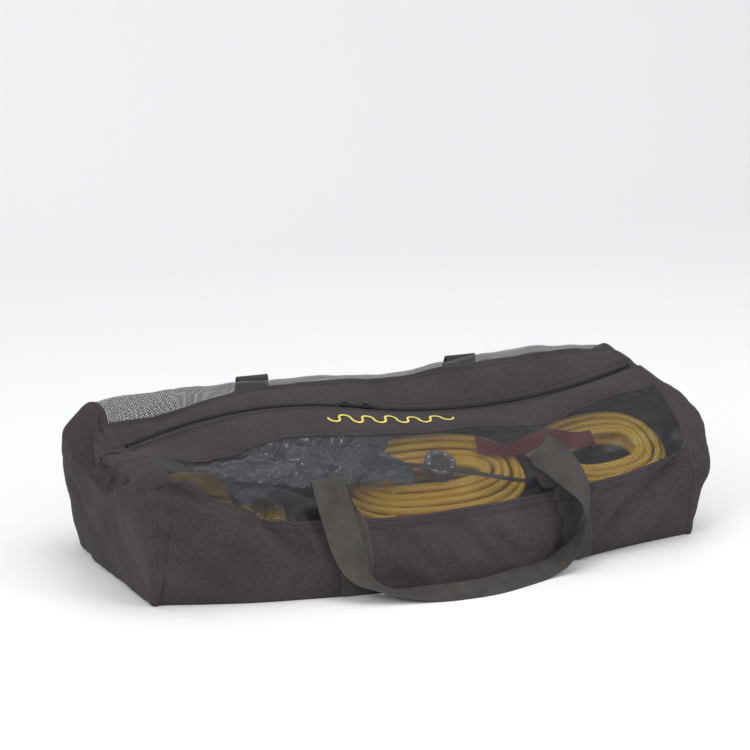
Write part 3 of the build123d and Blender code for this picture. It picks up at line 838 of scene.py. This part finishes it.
# %% [markdown]
# ## Cloth panels
# A cloth panel is a flat grid laid onto its slice of the surface and given a thickness. It could be sewn up by a
# cloth simulation, but the folds are already in the surface, so only the points of Blender's own grid are moved.

# %% Lay grids on the panels


def read_points(mesh):
    """The points of a mesh, as rows."""
    co = np.zeros(len(mesh.vertices) * 3)
    mesh.vertices.foreach_get("co", co)
    return co.reshape(-1, 3)


def laid_grid(name, panel, cells, material, spread=(0, 1, 0, 1), height=0.0):
    """A grid of cells laid on a panel between u, v limits. height may be a function of (u, v)."""
    bm = bmesh.new()
    bm.loops.layers.uv.new("UVMap")
    bmesh.ops.create_grid(bm, x_segments=cells[0], y_segments=cells[1], size=0.5, calc_uvs=True)
    piece = new_piece(name, bm, material)
    s, t = read_points(piece.data)[:, :2].T + 0.5
    u, v = spread[0] + s * (spread[1] - spread[0]), spread[2] + t * (spread[3] - spread[2])
    out = height(u, v) if callable(height) else np.full(len(u), height)
    piece.data.vertices.foreach_set("co", panel.at(u, v, out).ravel())
    piece.data.update()
    face_out(piece)
    return piece


def face_out(piece):
    """Turns a sheet's faces away from the bag's middle."""
    bm = bmesh.new()
    bm.from_mesh(piece.data)
    bm.normal_update()
    middles = [(face, face.calc_center_median()) for face in bm.faces]
    if sum(face.normal.dot(m - Vector((m.x * 0.8, 0, MIDDLE_HEIGHT))) for face, m in middles) < 0:
        bmesh.ops.reverse_faces(bm, faces=bm.faces)
        bm.to_mesh(piece.data)
    bm.free()


def thicken(piece, thickness):
    solid = piece.modifiers.new("thickness", "SOLIDIFY")
    solid.thickness, solid.offset = thickness, -1.0


def on_bag(piece, slot, *nodes):
    """The piece moves with the bag, and stands for the nodes."""
    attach(piece, "bag")
    if nodes:
        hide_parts(*nodes)
    return piece


# %% The cloth panels
CLOTH_THICKNESS = 0.9 * MM
cloth_panels = [
    ("front_lower", "front_lower_panel", (260, 44)),
    ("back_lower", "back_lower_panel", (260, 44)),
    ("front_band", "front_top_band", (260, 22)),
    ("back_band", "back_top_band", (260, 22)),
    ("base", "bottom_panel", (120, 40)),
]
for panel_name, node, cells in cloth_panels:
    panel = panels[panel_name]
    piece = laid_grid(f"{panel_name}_cloth", panel, cells, cloth)
    thicken(piece, CLOTH_THICKNESS)
    on_bag(piece, "cloth", node)
    length, width = panel.size()
print("cloth panels", len(cloth_panels))

# %% [markdown]
# An end's grid is wrapped round on itself, so its two open edges are merged, and its last ring is a single point.

# %% The two ends
for end_name in end_caps:
    panel = panels[f"{end_name}_end"]
    bm = bmesh.new()
    bm.loops.layers.uv.new("UVMap")
    rings, around = panel.grid.shape[0] - 1, panel.grid.shape[1] - 1
    bmesh.ops.create_grid(bm, x_segments=rings, y_segments=around, size=0.5, calc_uvs=True)
    for vert in bm.verts:
        i, j = round((vert.co.x + 0.5) * rings), round((vert.co.y + 0.5) * around)
        vert.co = panel.grid[i, j % around]
    bmesh.ops.remove_doubles(bm, verts=bm.verts, dist=0.00005)
    bmesh.ops.recalc_face_normals(bm, faces=bm.faces)
    piece = new_piece(f"{end_name}_end_cloth", bm, cloth)
    face_out(piece)
    thicken(piece, CLOTH_THICKNESS)
    on_bag(piece, "cloth", f"{end_name}_end_panel")
    print(piece.name, "faces", len(piece.data.polygons))

# %% [markdown]
# ## Net
# The net is real geometry, so hose and floor show through its holes from every side. A fine grid is turned by 45
# degrees and cut to the panel's outline, each cell is inset, and the inner faces are deleted, which leaves the
# threads. A transparent texture would be lighter, but its holes would have no edges to catch the light.

# %% Knot the nets
NET_PITCH = 3.2 * MM
NET_THREAD = {"front_net": 1.0 * MM, "back_net": 1.15 * MM}


def net_piece(name, panel):
    """A panel of net, knotted flat and then laid on the surface."""
    length, width = panel.size()
    half = (length + width) / 2 / sqrt(2) + NET_PITCH
    cells = int(2 * half / NET_PITCH)
    bm = bmesh.new()
    bmesh.ops.create_grid(bm, x_segments=cells, y_segments=cells, size=half)
    bmesh.ops.rotate(bm, verts=bm.verts, matrix=Matrix.Rotation(radians(45), 3, "Z"))
    far_x, far_y = length / 2 + NET_PITCH, width / 2 + NET_PITCH
    away = [v for v in bm.verts if abs(v.co.x) > far_x or abs(v.co.y) > far_y]
    bmesh.ops.delete(bm, geom=away, context="VERTS")
    inner = bm.faces[:]
    bmesh.ops.inset_individual(bm, faces=inner, thickness=NET_THREAD[name] / 2, use_even_offset=True)
    bmesh.ops.delete(bm, geom=inner, context="FACES")
    piece = new_piece(name, bm, net_thread)
    u, v = np.clip(read_points(piece.data)[:, :2].T / [[length], [width]] + 0.5, 0, 1)
    piece.data.vertices.foreach_set("co", panel.at(u, v, np.zeros(len(u))).ravel())
    piece.data.update()
    face_out(piece)
    print(name, "triangles", sum(len(face.vertices) - 2 for face in piece.data.polygons))
    return on_bag(piece, "net", f"{name.split('_')[0]}_mesh_panel")


for panel_name, thread in NET_THREAD.items():
    panel = panels[panel_name]
    piece = net_piece(panel_name, panel)
    length, width = panel.size()
    solid_share = 1 - (1 - thread / NET_PITCH) ** 2
    round(solid_share * width * length, 4)

# %% [markdown]
# ## Seams, hems and stitches
# Each seam is a folded hem: a low rounded welt along the line where two panels meet, with a row of stitches on it.
# A hem is made as a strip laid a little above its panel, which follows every fold of the cloth below it.

# %% Welts along the seams


HEM_HEIGHT, HEM_BASE, END_SEAM_HEIGHT, END_SEAM_RINGS = 1.3 * MM, 0.1 * MM, 1.6 * MM, 1.6


def welt(name, panel, spread, cells, swell, base=0.0):
    """A low rounded strip on a panel, between u, v limits; swell is its height in metres."""
    def height(u, v):
        lengthways = spread[3] - spread[2] < spread[1] - spread[0]
        low, high, place = (*spread[2:], v) if lengthways else (*spread[:2], u)
        return base + swell * np.sqrt(np.clip(1 - (2 * (place - low) / (high - low) - 1) ** 2, 0, 1))

    return on_bag(laid_grid(name, panel, cells, cloth, spread, height), "cloth")


def inside(panel_name, metres):
    """The v of a line on a panel: metres in from its first edge, or from its second if negative."""
    share = metres / panels[panel_name].size()[1]
    return share if share > 0 else 1 + share


# Each hem's panel, and its width: positive on the panel's first edge, and negative on its second.
hems = [("front_lower", -0.008), ("back_lower", 0.008), ("front_band", 0.007), ("back_band", -0.007),
        ("front_band", -0.010), ("back_band", 0.010), ("front_net", 0.006), ("front_net", -0.006),
        ("back_net", 0.006), ("back_net", -0.006)]
for i, (panel_name, width) in enumerate(hems):
    limits = sorted((0.0 if width > 0 else 1.0, inside(panel_name, width)))
    welt(f"hem_{i}_{panel_name}", panels[panel_name], (0, 1, *limits), (260, 6), HEM_HEIGHT, HEM_BASE)
for end_name in end_caps:
    welt(f"{end_name}_end_seam", panels[f"{end_name}_end"], (0.0, END_SEAM_RINGS / RINGS, 0.0, 1.0), (6, 300),
         END_SEAM_HEIGHT)
print("hems", len(hems), "and end seams", len(end_caps))

# %% [markdown]
# Stitches run along the hems at an even pitch. Each is a short tapered peg of a few faces, since there are
# thousands, and it is measured along the folded cloth, so the pitch stays even over every crease.

# %% Rows of stitches
STITCH_PITCH, STITCH_LENGTH, STITCH_WIDTH, STITCH_HEIGHT = 3.4 * MM, 2.4 * MM, 0.55 * MM, 1.4 * MM
STITCH_ENDS, LINE_SAMPLES = (0.004, 0.996), 1500


def peg(bm, head, tail, segments, radius, tail_radius):
    """Adds a thin peg from head to tail."""
    turn = (tail - head).to_track_quat("Z", "Y").to_matrix().to_4x4()
    bmesh.ops.create_cone(bm, cap_ends=True, segments=segments, radius1=radius, radius2=tail_radius,
                          depth=(tail - head).length, matrix=Matrix.Translation((head + tail) / 2) @ turn)


def stitch_row(name, panel, v):
    """Stitches along a panel, all at the same v."""
    u = np.linspace(*STITCH_ENDS, LINE_SAMPLES)
    places = panel.at(u, np.full(LINE_SAMPLES, v), np.full(LINE_SAMPLES, STITCH_HEIGHT))
    run = np.concatenate([[0], np.cumsum(np.linalg.norm(np.diff(places, axis=0), axis=1))])
    heads_at = (np.arange(int(run[-1] / STITCH_PITCH)) + 0.2) * STITCH_PITCH
    heads, tails = (np.stack([np.interp(at, run, places[:, k]) for k in range(3)], axis=1)
                    for at in (heads_at, heads_at + STITCH_LENGTH))
    bm = bmesh.new()
    for head, tail in zip(heads, tails):
        peg(bm, Vector(head), Vector(tail), 5, STITCH_WIDTH / 2, STITCH_WIDTH / 2.4)
    print(name, len(heads))
    return on_bag(new_piece(name, bm, seam_thread), "cloth")


stitch_lines = [("front_lower", -0.004), ("front_lower", -0.011), ("front_band", 0.0035), ("front_band", -0.0085),
                ("back_band", 0.0085), ("back_band", -0.0035), ("back_lower", 0.004)]
for i, (panel_name, metres) in enumerate(stitch_lines):
    stitch_row(f"stitches_{i}_{panel_name}", panels[panel_name], inside(panel_name, metres))

# %% [markdown]
# ## Zip
# The zip is a pair of woven tapes with a nylon coil along each inner edge. The tapes follow the mechanical model's
# arcs and not the creased surface, because the sliders run on them. The sliders keep the model's own shape.

# %% Tapes, sliders and pulls
SIDE_SIGNS = {"front": -1, "back": 1}
TAPE_LENGTH, TAPE_WIDTH, TAPE_CENTRE, TAPE_DROP = 0.826, 11.4, 6.4, 1.6 * MM     # width and centre in millimetres
tape_finish = cloth_finish("tape_weave", (0.022, 0.020, 0.022), (0.036, 0.033, 0.035))
for side_name, side in SIDE_SIGNS.items():
    bm = bmesh.new()
    bmesh.ops.create_grid(bm, x_segments=240, y_segments=4, size=0.5)
    for vert in bm.verts:
        x = vert.co.x * TAPE_LENGTH
        vert.co = (x, side * (TAPE_CENTRE + TAPE_WIDTH * vert.co.y) * MM, float(zip_height(x)) - TAPE_DROP)
    tape = new_piece(f"{side_name}_tape", bm, tape_finish)
    face_out(tape)
    thicken(tape, 0.8 * MM)
    on_bag(tape, "zip_tape", f"{side_name}_zip_tape")
for end_name in end_caps:
    refinish(f"{end_name}_slider", black_zinc, 0.35 * MM)
    refinish(f"{end_name}_pull_tab", black_zinc, 0.35 * MM)

# %% [markdown]
# A zip's coil is a spring of nylon. It could be one curve, but the same small hoop set again and again along the
# zip looks the same at this size, and has far fewer faces. A smooth bar there would look like a rod.

# %% Loops of the coil
LOOP_PITCH, LOOP_RADIUS, LOOP_WIRE, LOOP_LEAN = 1.9 * MM, 1.0 * MM, 0.48 * MM, radians(78)
COIL_END, COIL_CENTRE = 0.409, 2.1 * MM


def coil_loops(side_name, side):
    """One zip coil: hoops along the zip's path."""
    hoop = bmesh.new()
    bmesh.ops.create_circle(hoop, cap_ends=False, segments=4, radius=LOOP_WIRE,
                            matrix=Matrix.Translation((LOOP_RADIUS, 0, 0)) @ Matrix.Rotation(pi / 2, 4, "X"))
    bmesh.ops.spin(hoop, geom=hoop.verts[:] + hoop.edges[:], cent=(0, 0, 0), axis=(0, 0, 1), angle=2 * pi, steps=8,
                   use_merge=True)
    bmesh.ops.recalc_face_normals(hoop, faces=hoop.faces)
    loop = bpy.data.meshes.new("loop")
    hoop.to_mesh(loop)
    hoop.free()
    xs = np.arange(-COIL_END + LOOP_PITCH, COIL_END, LOOP_PITCH)
    zs = zip_height(xs)
    bm = bmesh.new()
    for x, z, tilt in zip(xs, zs, np.arctan2(np.gradient(zs, xs), 1)):
        bm.from_mesh(loop)
        bm.verts.ensure_lookup_table()
        place = (Matrix.Translation((x, side * COIL_CENTRE, z)) @ Matrix.Rotation(-tilt, 4, "Y")
                 @ Matrix.Rotation(LOOP_LEAN, 4, "Y") @ Matrix.Diagonal((1.05, 1.0, 1.0, 1)))
        bmesh.ops.transform(bm, matrix=place, verts=bm.verts[-len(loop.vertices):])
    bpy.data.meshes.remove(loop)
    print(side_name, "loops", len(xs))
    return on_bag(new_piece(f"{side_name}_coil_loops", bm, coil_nylon), "zip_coil", f"{side_name}_zip_coil")


for side_name, side in SIDE_SIGNS.items():
    coil_loops(side_name, side)

# %% [markdown]
# A patch of cloth is sewn over each end of the zip, where the bag's end begins. It is laid on the end's own surface
# and swells a little in its middle, over the zip's tapes.

# %% Patches over the zip's ends
PATCH_RINGS, PATCH_HALF, PATCH_BASE, PATCH_SWELL = 0.55, 3.6, 0.8 * MM, 1.4 * MM
for end_name in end_caps:
    panel = panels[f"{end_name}_end"]
    columns = panel.grid.shape[1] - 1
    middle, half = (starts["zip"] + 2) / columns, PATCH_HALF / columns
    patch = laid_grid(f"{end_name}_zip_patch", panel, (16, 16), cloth,
                      (0.0, PATCH_RINGS, middle - half, middle + half),
                      lambda u, v: PATCH_BASE + PATCH_SWELL * (1 - (np.abs(v - middle) / half) ** 4))
    thicken(patch, 1.2 * MM)
    on_bag(patch, "cloth", f"{end_name}_zip_end_tab")
    print(patch.name, "faces", len(patch.data.polygons))

# %% [markdown]
# ## Handles
# A handle is one length of ribbed webbing. Both its ends are sewn down the cloth side, stand up over the net, turn
# over, and the rest falls down the bag's side. Webbing bends easily across its width but not within it, so a strap
# is described by its centre line together with the direction of its width at each place. The strip is one grid
# swept along these.

# %% Straps from a line and a width direction
STRAP_WIDTH, STRAP_THICKNESS = 50.8 * MM, 1.9 * MM


def strap(name, places, widths, material=webbing, steps=12, width=STRAP_WIDTH, thick=STRAP_THICKNESS):
    """A strip of webbing through places (mm), whose width lies along widths; both are read smoothly."""
    places, widths = np.array(places, float) * MM, np.array(widths, float)
    count = (len(places) - 1) * steps
    t = np.linspace(0, len(places) - 1, count + 1)
    i = np.clip(np.floor(t).astype(int), 0, len(places) - 2)
    weights = spline_weights(t - i)

    def smooth(values):
        padded = np.concatenate([2 * values[:1] - values[1:2], values, 2 * values[-1:] - values[-2:-1]])
        return sum(weights[k][:, None] * padded[i + k] for k in range(4))

    line, across = smooth(places), smooth(widths)
    tangent = np.gradient(line, axis=0)
    tangent /= np.linalg.norm(tangent, axis=1, keepdims=True)
    across -= (across * tangent).sum(1, keepdims=True) * tangent
    across /= np.linalg.norm(across, axis=1, keepdims=True)
    run = np.concatenate([[0], np.cumsum(np.linalg.norm(np.diff(line, axis=0), axis=1))])
    bm = bmesh.new()
    uv = bm.loops.layers.uv.new("UVMap")
    bmesh.ops.create_grid(bm, x_segments=10, y_segments=count, size=0.5)
    rows = {}
    for vert in bm.verts:
        j = round((vert.co.y + 0.5) * count)
        side = vert.co.x * width
        rows[vert] = (side, run[j])
        vert.co = line[j] + across[j] * side
    for face in bm.faces:
        for loop in face.loops:
            loop[uv].uv = rows[loop.vert]
    bmesh.ops.solidify(bm, geom=bm.faces[:], thickness=thick)
    for face in bm.faces:
        for loop in face.loops:
            if loop[uv].uv.length == 0 and loop.vert in rows:
                loop[uv].uv = rows[loop.vert]
    bmesh.ops.recalc_face_normals(bm, faces=bm.faces)
    piece = new_piece(name, bm, material)
    soften_edges(piece, 0.5 * MM, 50)
    print(name, "length", round(float(run[-1]), 3))
    return piece


def panel_u(x):
    """The u of a place along the bag."""
    return (x + END_STATION) / (2 * END_STATION)


# %% [markdown]
# Where the net sags onto the middle coil it is pinched into a narrow double fold, which shows as a dark line. It is
# a narrow strap of net, laid on the net's surface and turned up on its edge.

# %% The pinched fold of net
PINCH_SCALE, PINCH_RISE, PINCH_WIDTHS = 0.96, 0.6 * MM, (0, 0.55, 0.83)
pinch = [(-0.075, 0.70), (-0.045, 0.60), (0.009, 0.47), (0.074, 0.33), (0.130, 0.20), (0.180, 0.10), (0.215, 0.05)]
pinch_x, pinch_v = np.array(pinch).T
pinch_places = panels["front_net"].at(panel_u(pinch_x / PINCH_SCALE), pinch_v, np.full(len(pinch), PINCH_RISE))
net_fold = strap("net_fold", pinch_places / MM, [PINCH_WIDTHS] * len(pinch), net_thread, width=6 * MM, thick=1.0 * MM)
on_bag(net_fold, "net")

# %% [markdown]
# The front handle has fallen forwards: it turns over at its two folds, slides down the net and the cloth, and its
# middle lies on the floor, twisted onto its flat side. Each row below is a place and the direction of the strap's
# width there.

# %% The front handle
front_route = [
    (-166, -199.5, 118, 0.97, 0, 0.22), (-176, -199.2, 148, 0.97, 0, 0.24), (-183, -199.6, 164, 0.985, 0, 0.17),
    (-184.5, -203.2, 169.5, 0.99, 0, 0.12), (-184, -207.6, 165, 0.99, 0, 0.1), (-182, -212.5, 150, 0.99, 0, 0.1),
    (-176, -229, 110, 0.99, 0, 0.12), (-169, -246, 72, 0.98, 0.05, 0.17), (-157, -258, 43, 0.92, 0.38, 0.06),
    (-136, -269, 22, 0.55, 0.83, -0.12), (-106, -280, 10, 0.36, 0.93, -0.1), (-64, -290, 7, 0.16, 0.97, 0.12),
    (-22, -295, 6.2, 0.0, 0.98, 0.18), (30, -292, 6.2, -0.02, 0.98, 0.18), (80, -276, 6.2, -0.05, 0.97, 0.18),
    (126, -258, 8, -0.02, 0.97, 0.2), (164, -249, 17, 0.08, 0.97, 0.18), (191, -249, 36, 0.26, 0.95, 0.1),
    (206, -249, 64, 0.4, 0.91, 0.02), (211, -245, 90, 0.52, 0.85, 0.06), (209, -234, 113, 0.7, 0.66, 0.22),
    (198, -221, 136, 0.86, 0.34, 0.36), (180, -213.5, 157, 0.91, 0.1, 0.38), (163, -208.6, 171, 0.925, 0.0, 0.36),
    (154, -204, 178, 0.93, 0, 0.36), (156, -199.8, 173, 0.93, 0, 0.36), (170, -199.2, 152, 0.93, 0, 0.36),
    (192, -199.5, 118, 0.95, 0, 0.28),
]


def swinging_handle(side_name, route):
    """A handle through rows of place and width direction."""
    rows = np.array(route, float)
    handle = strap(f"{side_name}_handle_webbing", rows[:, :3], rows[:, 3:])
    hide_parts(f"{side_name}_handle_loop")
    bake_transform(handle)


swinging_handle("front", front_route)

# %% [markdown]
# Each sewn end of a handle lies on the cloth side up to the seam, and then leaves it to meet the swinging part.

# %% The front handle's sewn legs
LEG_HEIGHT, LEG_SAMPLES = 2.6 * MM, 6


def sewn_leg(side_name, end_name, x, spread, extra):
    """A leg at x on the cloth side, between two values of v, and then through extra rows of place and width."""
    v = np.linspace(*spread, LEG_SAMPLES)
    on_cloth = panels[f"{side_name}_lower"].at(np.full(LEG_SAMPLES, panel_u(x)), v, LEG_HEIGHT) / MM
    extra = np.array(extra, float)
    widths = [(1, 0, 0)] * LEG_SAMPLES
    leg = strap(f"{side_name}_{end_name}_leg", [*on_cloth, *extra[:, :3]], [*widths, *extra[:, 3:]], steps=8)
    on_bag(leg, "webbing", f"{side_name}_{end_name}_handle_leg")


sewn_leg("front", "left", -0.155, (0.04, 0.94),
         [(-161, -208.5, 108, 0.98, 0, 0.15), (-166, -200.2, 118.5, 0.97, 0, 0.22)])
sewn_leg("front", "right", 0.210, (0.04, 0.92),
         [(200, -209, 109, 0.98, 0, 0.15), (192, -200.2, 118.5, 0.95, 0, 0.28)])

# %% [markdown]
# The back handle hangs down the back in a wide curve, the same at its left and its right, so only half of its route
# is written and the rest is its mirror image.

# %% The back handle
BACK_HANDLE_MIDDLE, BACK_LEG_SPREAD = 27, (0.96, 0.06)
half_route = [
    (-150, 170.2, 190, 1, 0, 0), (-150, 170.0, 216, 1, 0, 0), (-150, 170.6, 229, 1, 0, 0),
    (-150, 174.4, 234, 1, 0, 0), (-150, 178.6, 230, 1, 0, 0), (-149, 185, 216, 1, 0, 0.02),
    (-145, 202, 188, 0.99, 0, 0.1), (-132, 220, 162, 0.82, 0.28, -0.35), (-104, 229, 146, 0.4, 0.5, -0.72),
    (-50, 231, 138, 0.08, 0.54, -0.83), (27, 231, 135, 0, 0.56, -0.83),
]
mirrored = [(2 * BACK_HANDLE_MIDDLE - x, y, z, -wx, wy, wz) for x, y, z, wx, wy, wz in half_route[-2::-1]]
swinging_handle("back", half_route + mirrored)
for end_name, x in (("left", -0.150), ("right", 0.204)):
    sewn_leg("back", end_name, x * 1.035, BACK_LEG_SPREAD,
             [(x / MM, y, z, 1, 0, 0) for y, z in ((209, 116), (192, 150), (174, 176), (170.2, 190.5))])

# %% [markdown]
# ## Embroidery
# A wavy line of bright thread is sewn on the front band. Satin stitch is many short threads laid side by side
# across the line, each a few faces, which gives the raised and shining look of sewn thread.

# %% A satin-stitched wave
WAVE_START, WAVE_RADIUS, WAVE_COUNT = -0.112, 0.009, 11
WAVE_V, SATIN_COUNT, SATIN_HALF, SATIN_RADIUS, SATIN_RISE = 0.48, 560, 1.7 * MM, 0.42 * MM, 1.0 * MM


def wave_point(t):
    """Point of the wave: x along the bag and its height across the band, for t from 0 to WAVE_COUNT."""
    i = min(int(t), WAVE_COUNT - 1)
    angle = pi * (1 - (t - i))
    x = WAVE_START + WAVE_RADIUS * (2 * i + 1 + cos(angle))
    return x, WAVE_RADIUS * sin(angle) * (1 if i % 2 else -1)


satin = bmesh.new()
band_width = panels["front_band"].size()[1]
for k in range(SATIN_COUNT):
    t = k / SATIN_COUNT * WAVE_COUNT
    (x0, h0), (x1, h1) = wave_point(t), wave_point(min(t + 0.02, WAVE_COUNT))
    run = Vector((x1 - x0, h1 - h0, 0)).normalized()
    half = Vector((-run.y, run.x, 0)) * SATIN_HALF
    ends = [(x0 + s * half.x, WAVE_V + (h0 + s * half.y) / band_width) for s in (-1, 1)]
    head, tail = (Vector(panels["front_band"].at(panel_u(x * 1.07), v, SATIN_RISE)) for x, v in ends)
    peg(satin, head, tail, 6, SATIN_RADIUS, SATIN_RADIUS)
embroidery = new_piece("embroidery", satin, gold_thread)
on_bag(embroidery, "thread", "embroidered_wave")
print("satin threads", SATIN_COUNT)

# %% [markdown]
# ## Valve, pouch and harness
# A round valve sits on the middle coil, with a smoked ring held by small bright studs. The mechanical model has its
# body, ring and button, and the studs are flattened spheres set round the ring. Beside it lie a folded bag of dark
# vinyl and a length of red webbing.

# %% The valve
STUDS, STUD_CIRCLE, STUD_RISE, STUD_RADIUS = 8, 0.0195, 0.0018, 2.7 * MM
refinish("valve_body", black_plastic, 0.8 * MM)
refinish("valve_cover", smoked_ring, 0.3 * MM)
refinish("valve_button", black_plastic, 0.3 * MM)
ring_low, ring_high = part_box("valve_cover")
ring_centre = (ring_low + ring_high) / 2
valve_lie = tilted((0, 0, 0), coils["middle"]["tilt"])
studs = bmesh.new()
for k in range(STUDS):
    angle = 2 * pi * k / STUDS
    spot = ring_centre + valve_lie @ Vector((cos(angle) * STUD_CIRCLE, sin(angle) * STUD_CIRCLE, STUD_RISE))
    bmesh.ops.create_uvsphere(studs, u_segments=12, v_segments=8, radius=STUD_RADIUS,
                              matrix=Matrix.Translation(spot) @ valve_lie @ Matrix.Diagonal((1, 1, 0.6, 1)))
on_bag(new_piece("valve_studs", studs, bright_ring), "valve_metal")
print("ring centre", [round(v, 3) for v in ring_centre])

# %% [markdown]
# The pouch is a bag of soft vinyl, folded flat. It could be sculpted, but blowing up a rounded slab as cloth gives
# it wrinkles that pull from its corners. The slab is remeshed evenly first, because cloth folds along its edges,
# and how far its points may move is limited, so that the pouch keeps to its place.

# %% A slab for the pouch
pouch_lie = tilted((-225, -108, 146), 40)
POUCH_SIZE, POUCH_ROUNDING, POUCH_VOXEL, POUCH_LIMIT = (0.138, 0.064, 0.022), 0.009, 0.004, 0.009
slab = bmesh.new()
bmesh.ops.create_cube(slab, size=1)
bmesh.ops.scale(slab, vec=POUCH_SIZE, verts=slab.verts)
bmesh.ops.bevel(slab, geom=slab.edges[:], offset=POUCH_ROUNDING, affect="EDGES", segments=4, profile=0.5, material=-1)
pouch = new_piece("pouch", slab, vinyl)
remesh = pouch.modifiers.new("even", "REMESH")
remesh.mode, remesh.voxel_size = "VOXEL", POUCH_VOXEL


def apply_modifiers(piece):
    """Keeps the shape that the piece's modifiers give it, and drops them."""
    graph = bpy.context.evaluated_depsgraph_get()
    mesh = bpy.data.meshes.new_from_object(piece.evaluated_get(graph))
    piece.modifiers.clear()
    piece.data = mesh


apply_modifiers(pouch)
print("slab points", len(pouch.data.vertices))

# %% Blow it up as cloth
rest = read_points(pouch.data)
fabric = pouch.modifiers.new("fabric", "CLOTH")
fabric.settings.quality = 6
fabric.settings.use_pressure = True
fabric.settings.uniform_pressure_force = 4
fabric.settings.shrink_min = -0.12
fabric.settings.effector_weights.gravity = 0
fabric.settings.bending_stiffness = 0.3
for step in range(1, 15):
    scene.frame_set(step)
apply_modifiers(pouch)
scene.frame_set(1)
shift = read_points(pouch.data) - rest
size = np.maximum(np.linalg.norm(shift, axis=1, keepdims=True), 1e-9)
pouch.data.vertices.foreach_set("co", (rest + shift * np.minimum(1, POUCH_LIMIT / size)).ravel())
pouch.data.transform(pouch_lie)
pouch.data.materials.clear()
pouch.data.materials.append(vinyl)
for face in pouch.data.polygons:
    face.use_smooth = True
finer = pouch.modifiers.new("finer", "SUBSURF")
finer.levels = finer.render_levels = 1
on_bag(pouch, "pouch_vinyl", "folded_pouch")
print("pouch points", len(pouch.data.vertices), "largest shift", float(size.max()))

# %% [markdown]
# The pouch's loose vinyl spreads under the net and over the left coil, in sharp folds. A folded sheet could be
# simulated, but it would have to be held between the net and the hose. Here it is laid below the net's own surface,
# by a depth that is a sum of folded noise, so it can't come through the net.

# %% A crumpled vinyl wrap over the hose
WRAP_START, WRAP_LENGTH, WRAP_DEPTH = -0.335, 0.300, 0.004
WRAP_FOLDS = ((2.6, 0.018), (6.0, 0.012), (15.0, 0.0022))      # scale and depth


def wrap_place(a, b):
    """Where a point of the wrap lies: x along the bag, v on the front net, and how far above it."""
    low = 0.50 - 0.16 * a + 0.05 * sin(9 * a)
    spot = Vector((a * 1.9, b * 0.8, 0.3))
    fold = WRAP_DEPTH + sum(size * abs(noise.noise(spot * scale)) for scale, size in WRAP_FOLDS)
    x = WRAP_START + WRAP_LENGTH * a + 0.014 * sin(7 * b)
    return x, low + (1 - low) * b, -fold * min(1, 6 * (1 - b) + 0.15)


wrap = bmesh.new()
bmesh.ops.create_grid(wrap, x_segments=150, y_segments=80, size=0.5)
x, v, rise = np.array([wrap_place(vert.co.x + 0.5, vert.co.y + 0.5) for vert in wrap.verts]).T
laid = panels["front_net"].at(panel_u(x / (1 - END_LEAN * 0.9)), v, rise)
for vert, spot in zip(wrap.verts, laid):
    vert.co = spot
vinyl_wrap = new_piece("vinyl_wrap", wrap, vinyl)
face_out(vinyl_wrap)
thicken(vinyl_wrap, 0.5 * MM)
on_bag(vinyl_wrap, "pouch_vinyl")

print("wrap lies from", laid.min(0).round(3), "to", laid.max(0).round(3))

# %% [markdown]
# The harness is a length of red webbing that lies over the coils with a lazy wave in it. It is a strap like the
# handles, but narrower and thinner.

# %% The harness
harness_lie = tilted((200, -98, 156), 36)
HARNESS_FLAT, HARNESS_RUN, HARNESS_THICKNESS = (0.031, 0.200), 0.196, 1.6 * MM
harness_places, harness_widths = [], []
for t in np.linspace(-0.5, 0.5, 9):
    harness_places.append(harness_lie @ Vector((t * HARNESS_RUN, 0.004 * sin(t * 9), 0.006 * sin(t * 11 + 1))) / MM)
    harness_widths.append(harness_lie.to_3x3() @ Vector((0, 1, 0.25 * sin(t * 8))))
harness = strap("harness_webbing", harness_places, harness_widths, red_webbing, width=HARNESS_FLAT[0],
                thick=HARNESS_THICKNESS)
on_bag(harness, "harness", "harness_strap")

# %% [markdown]
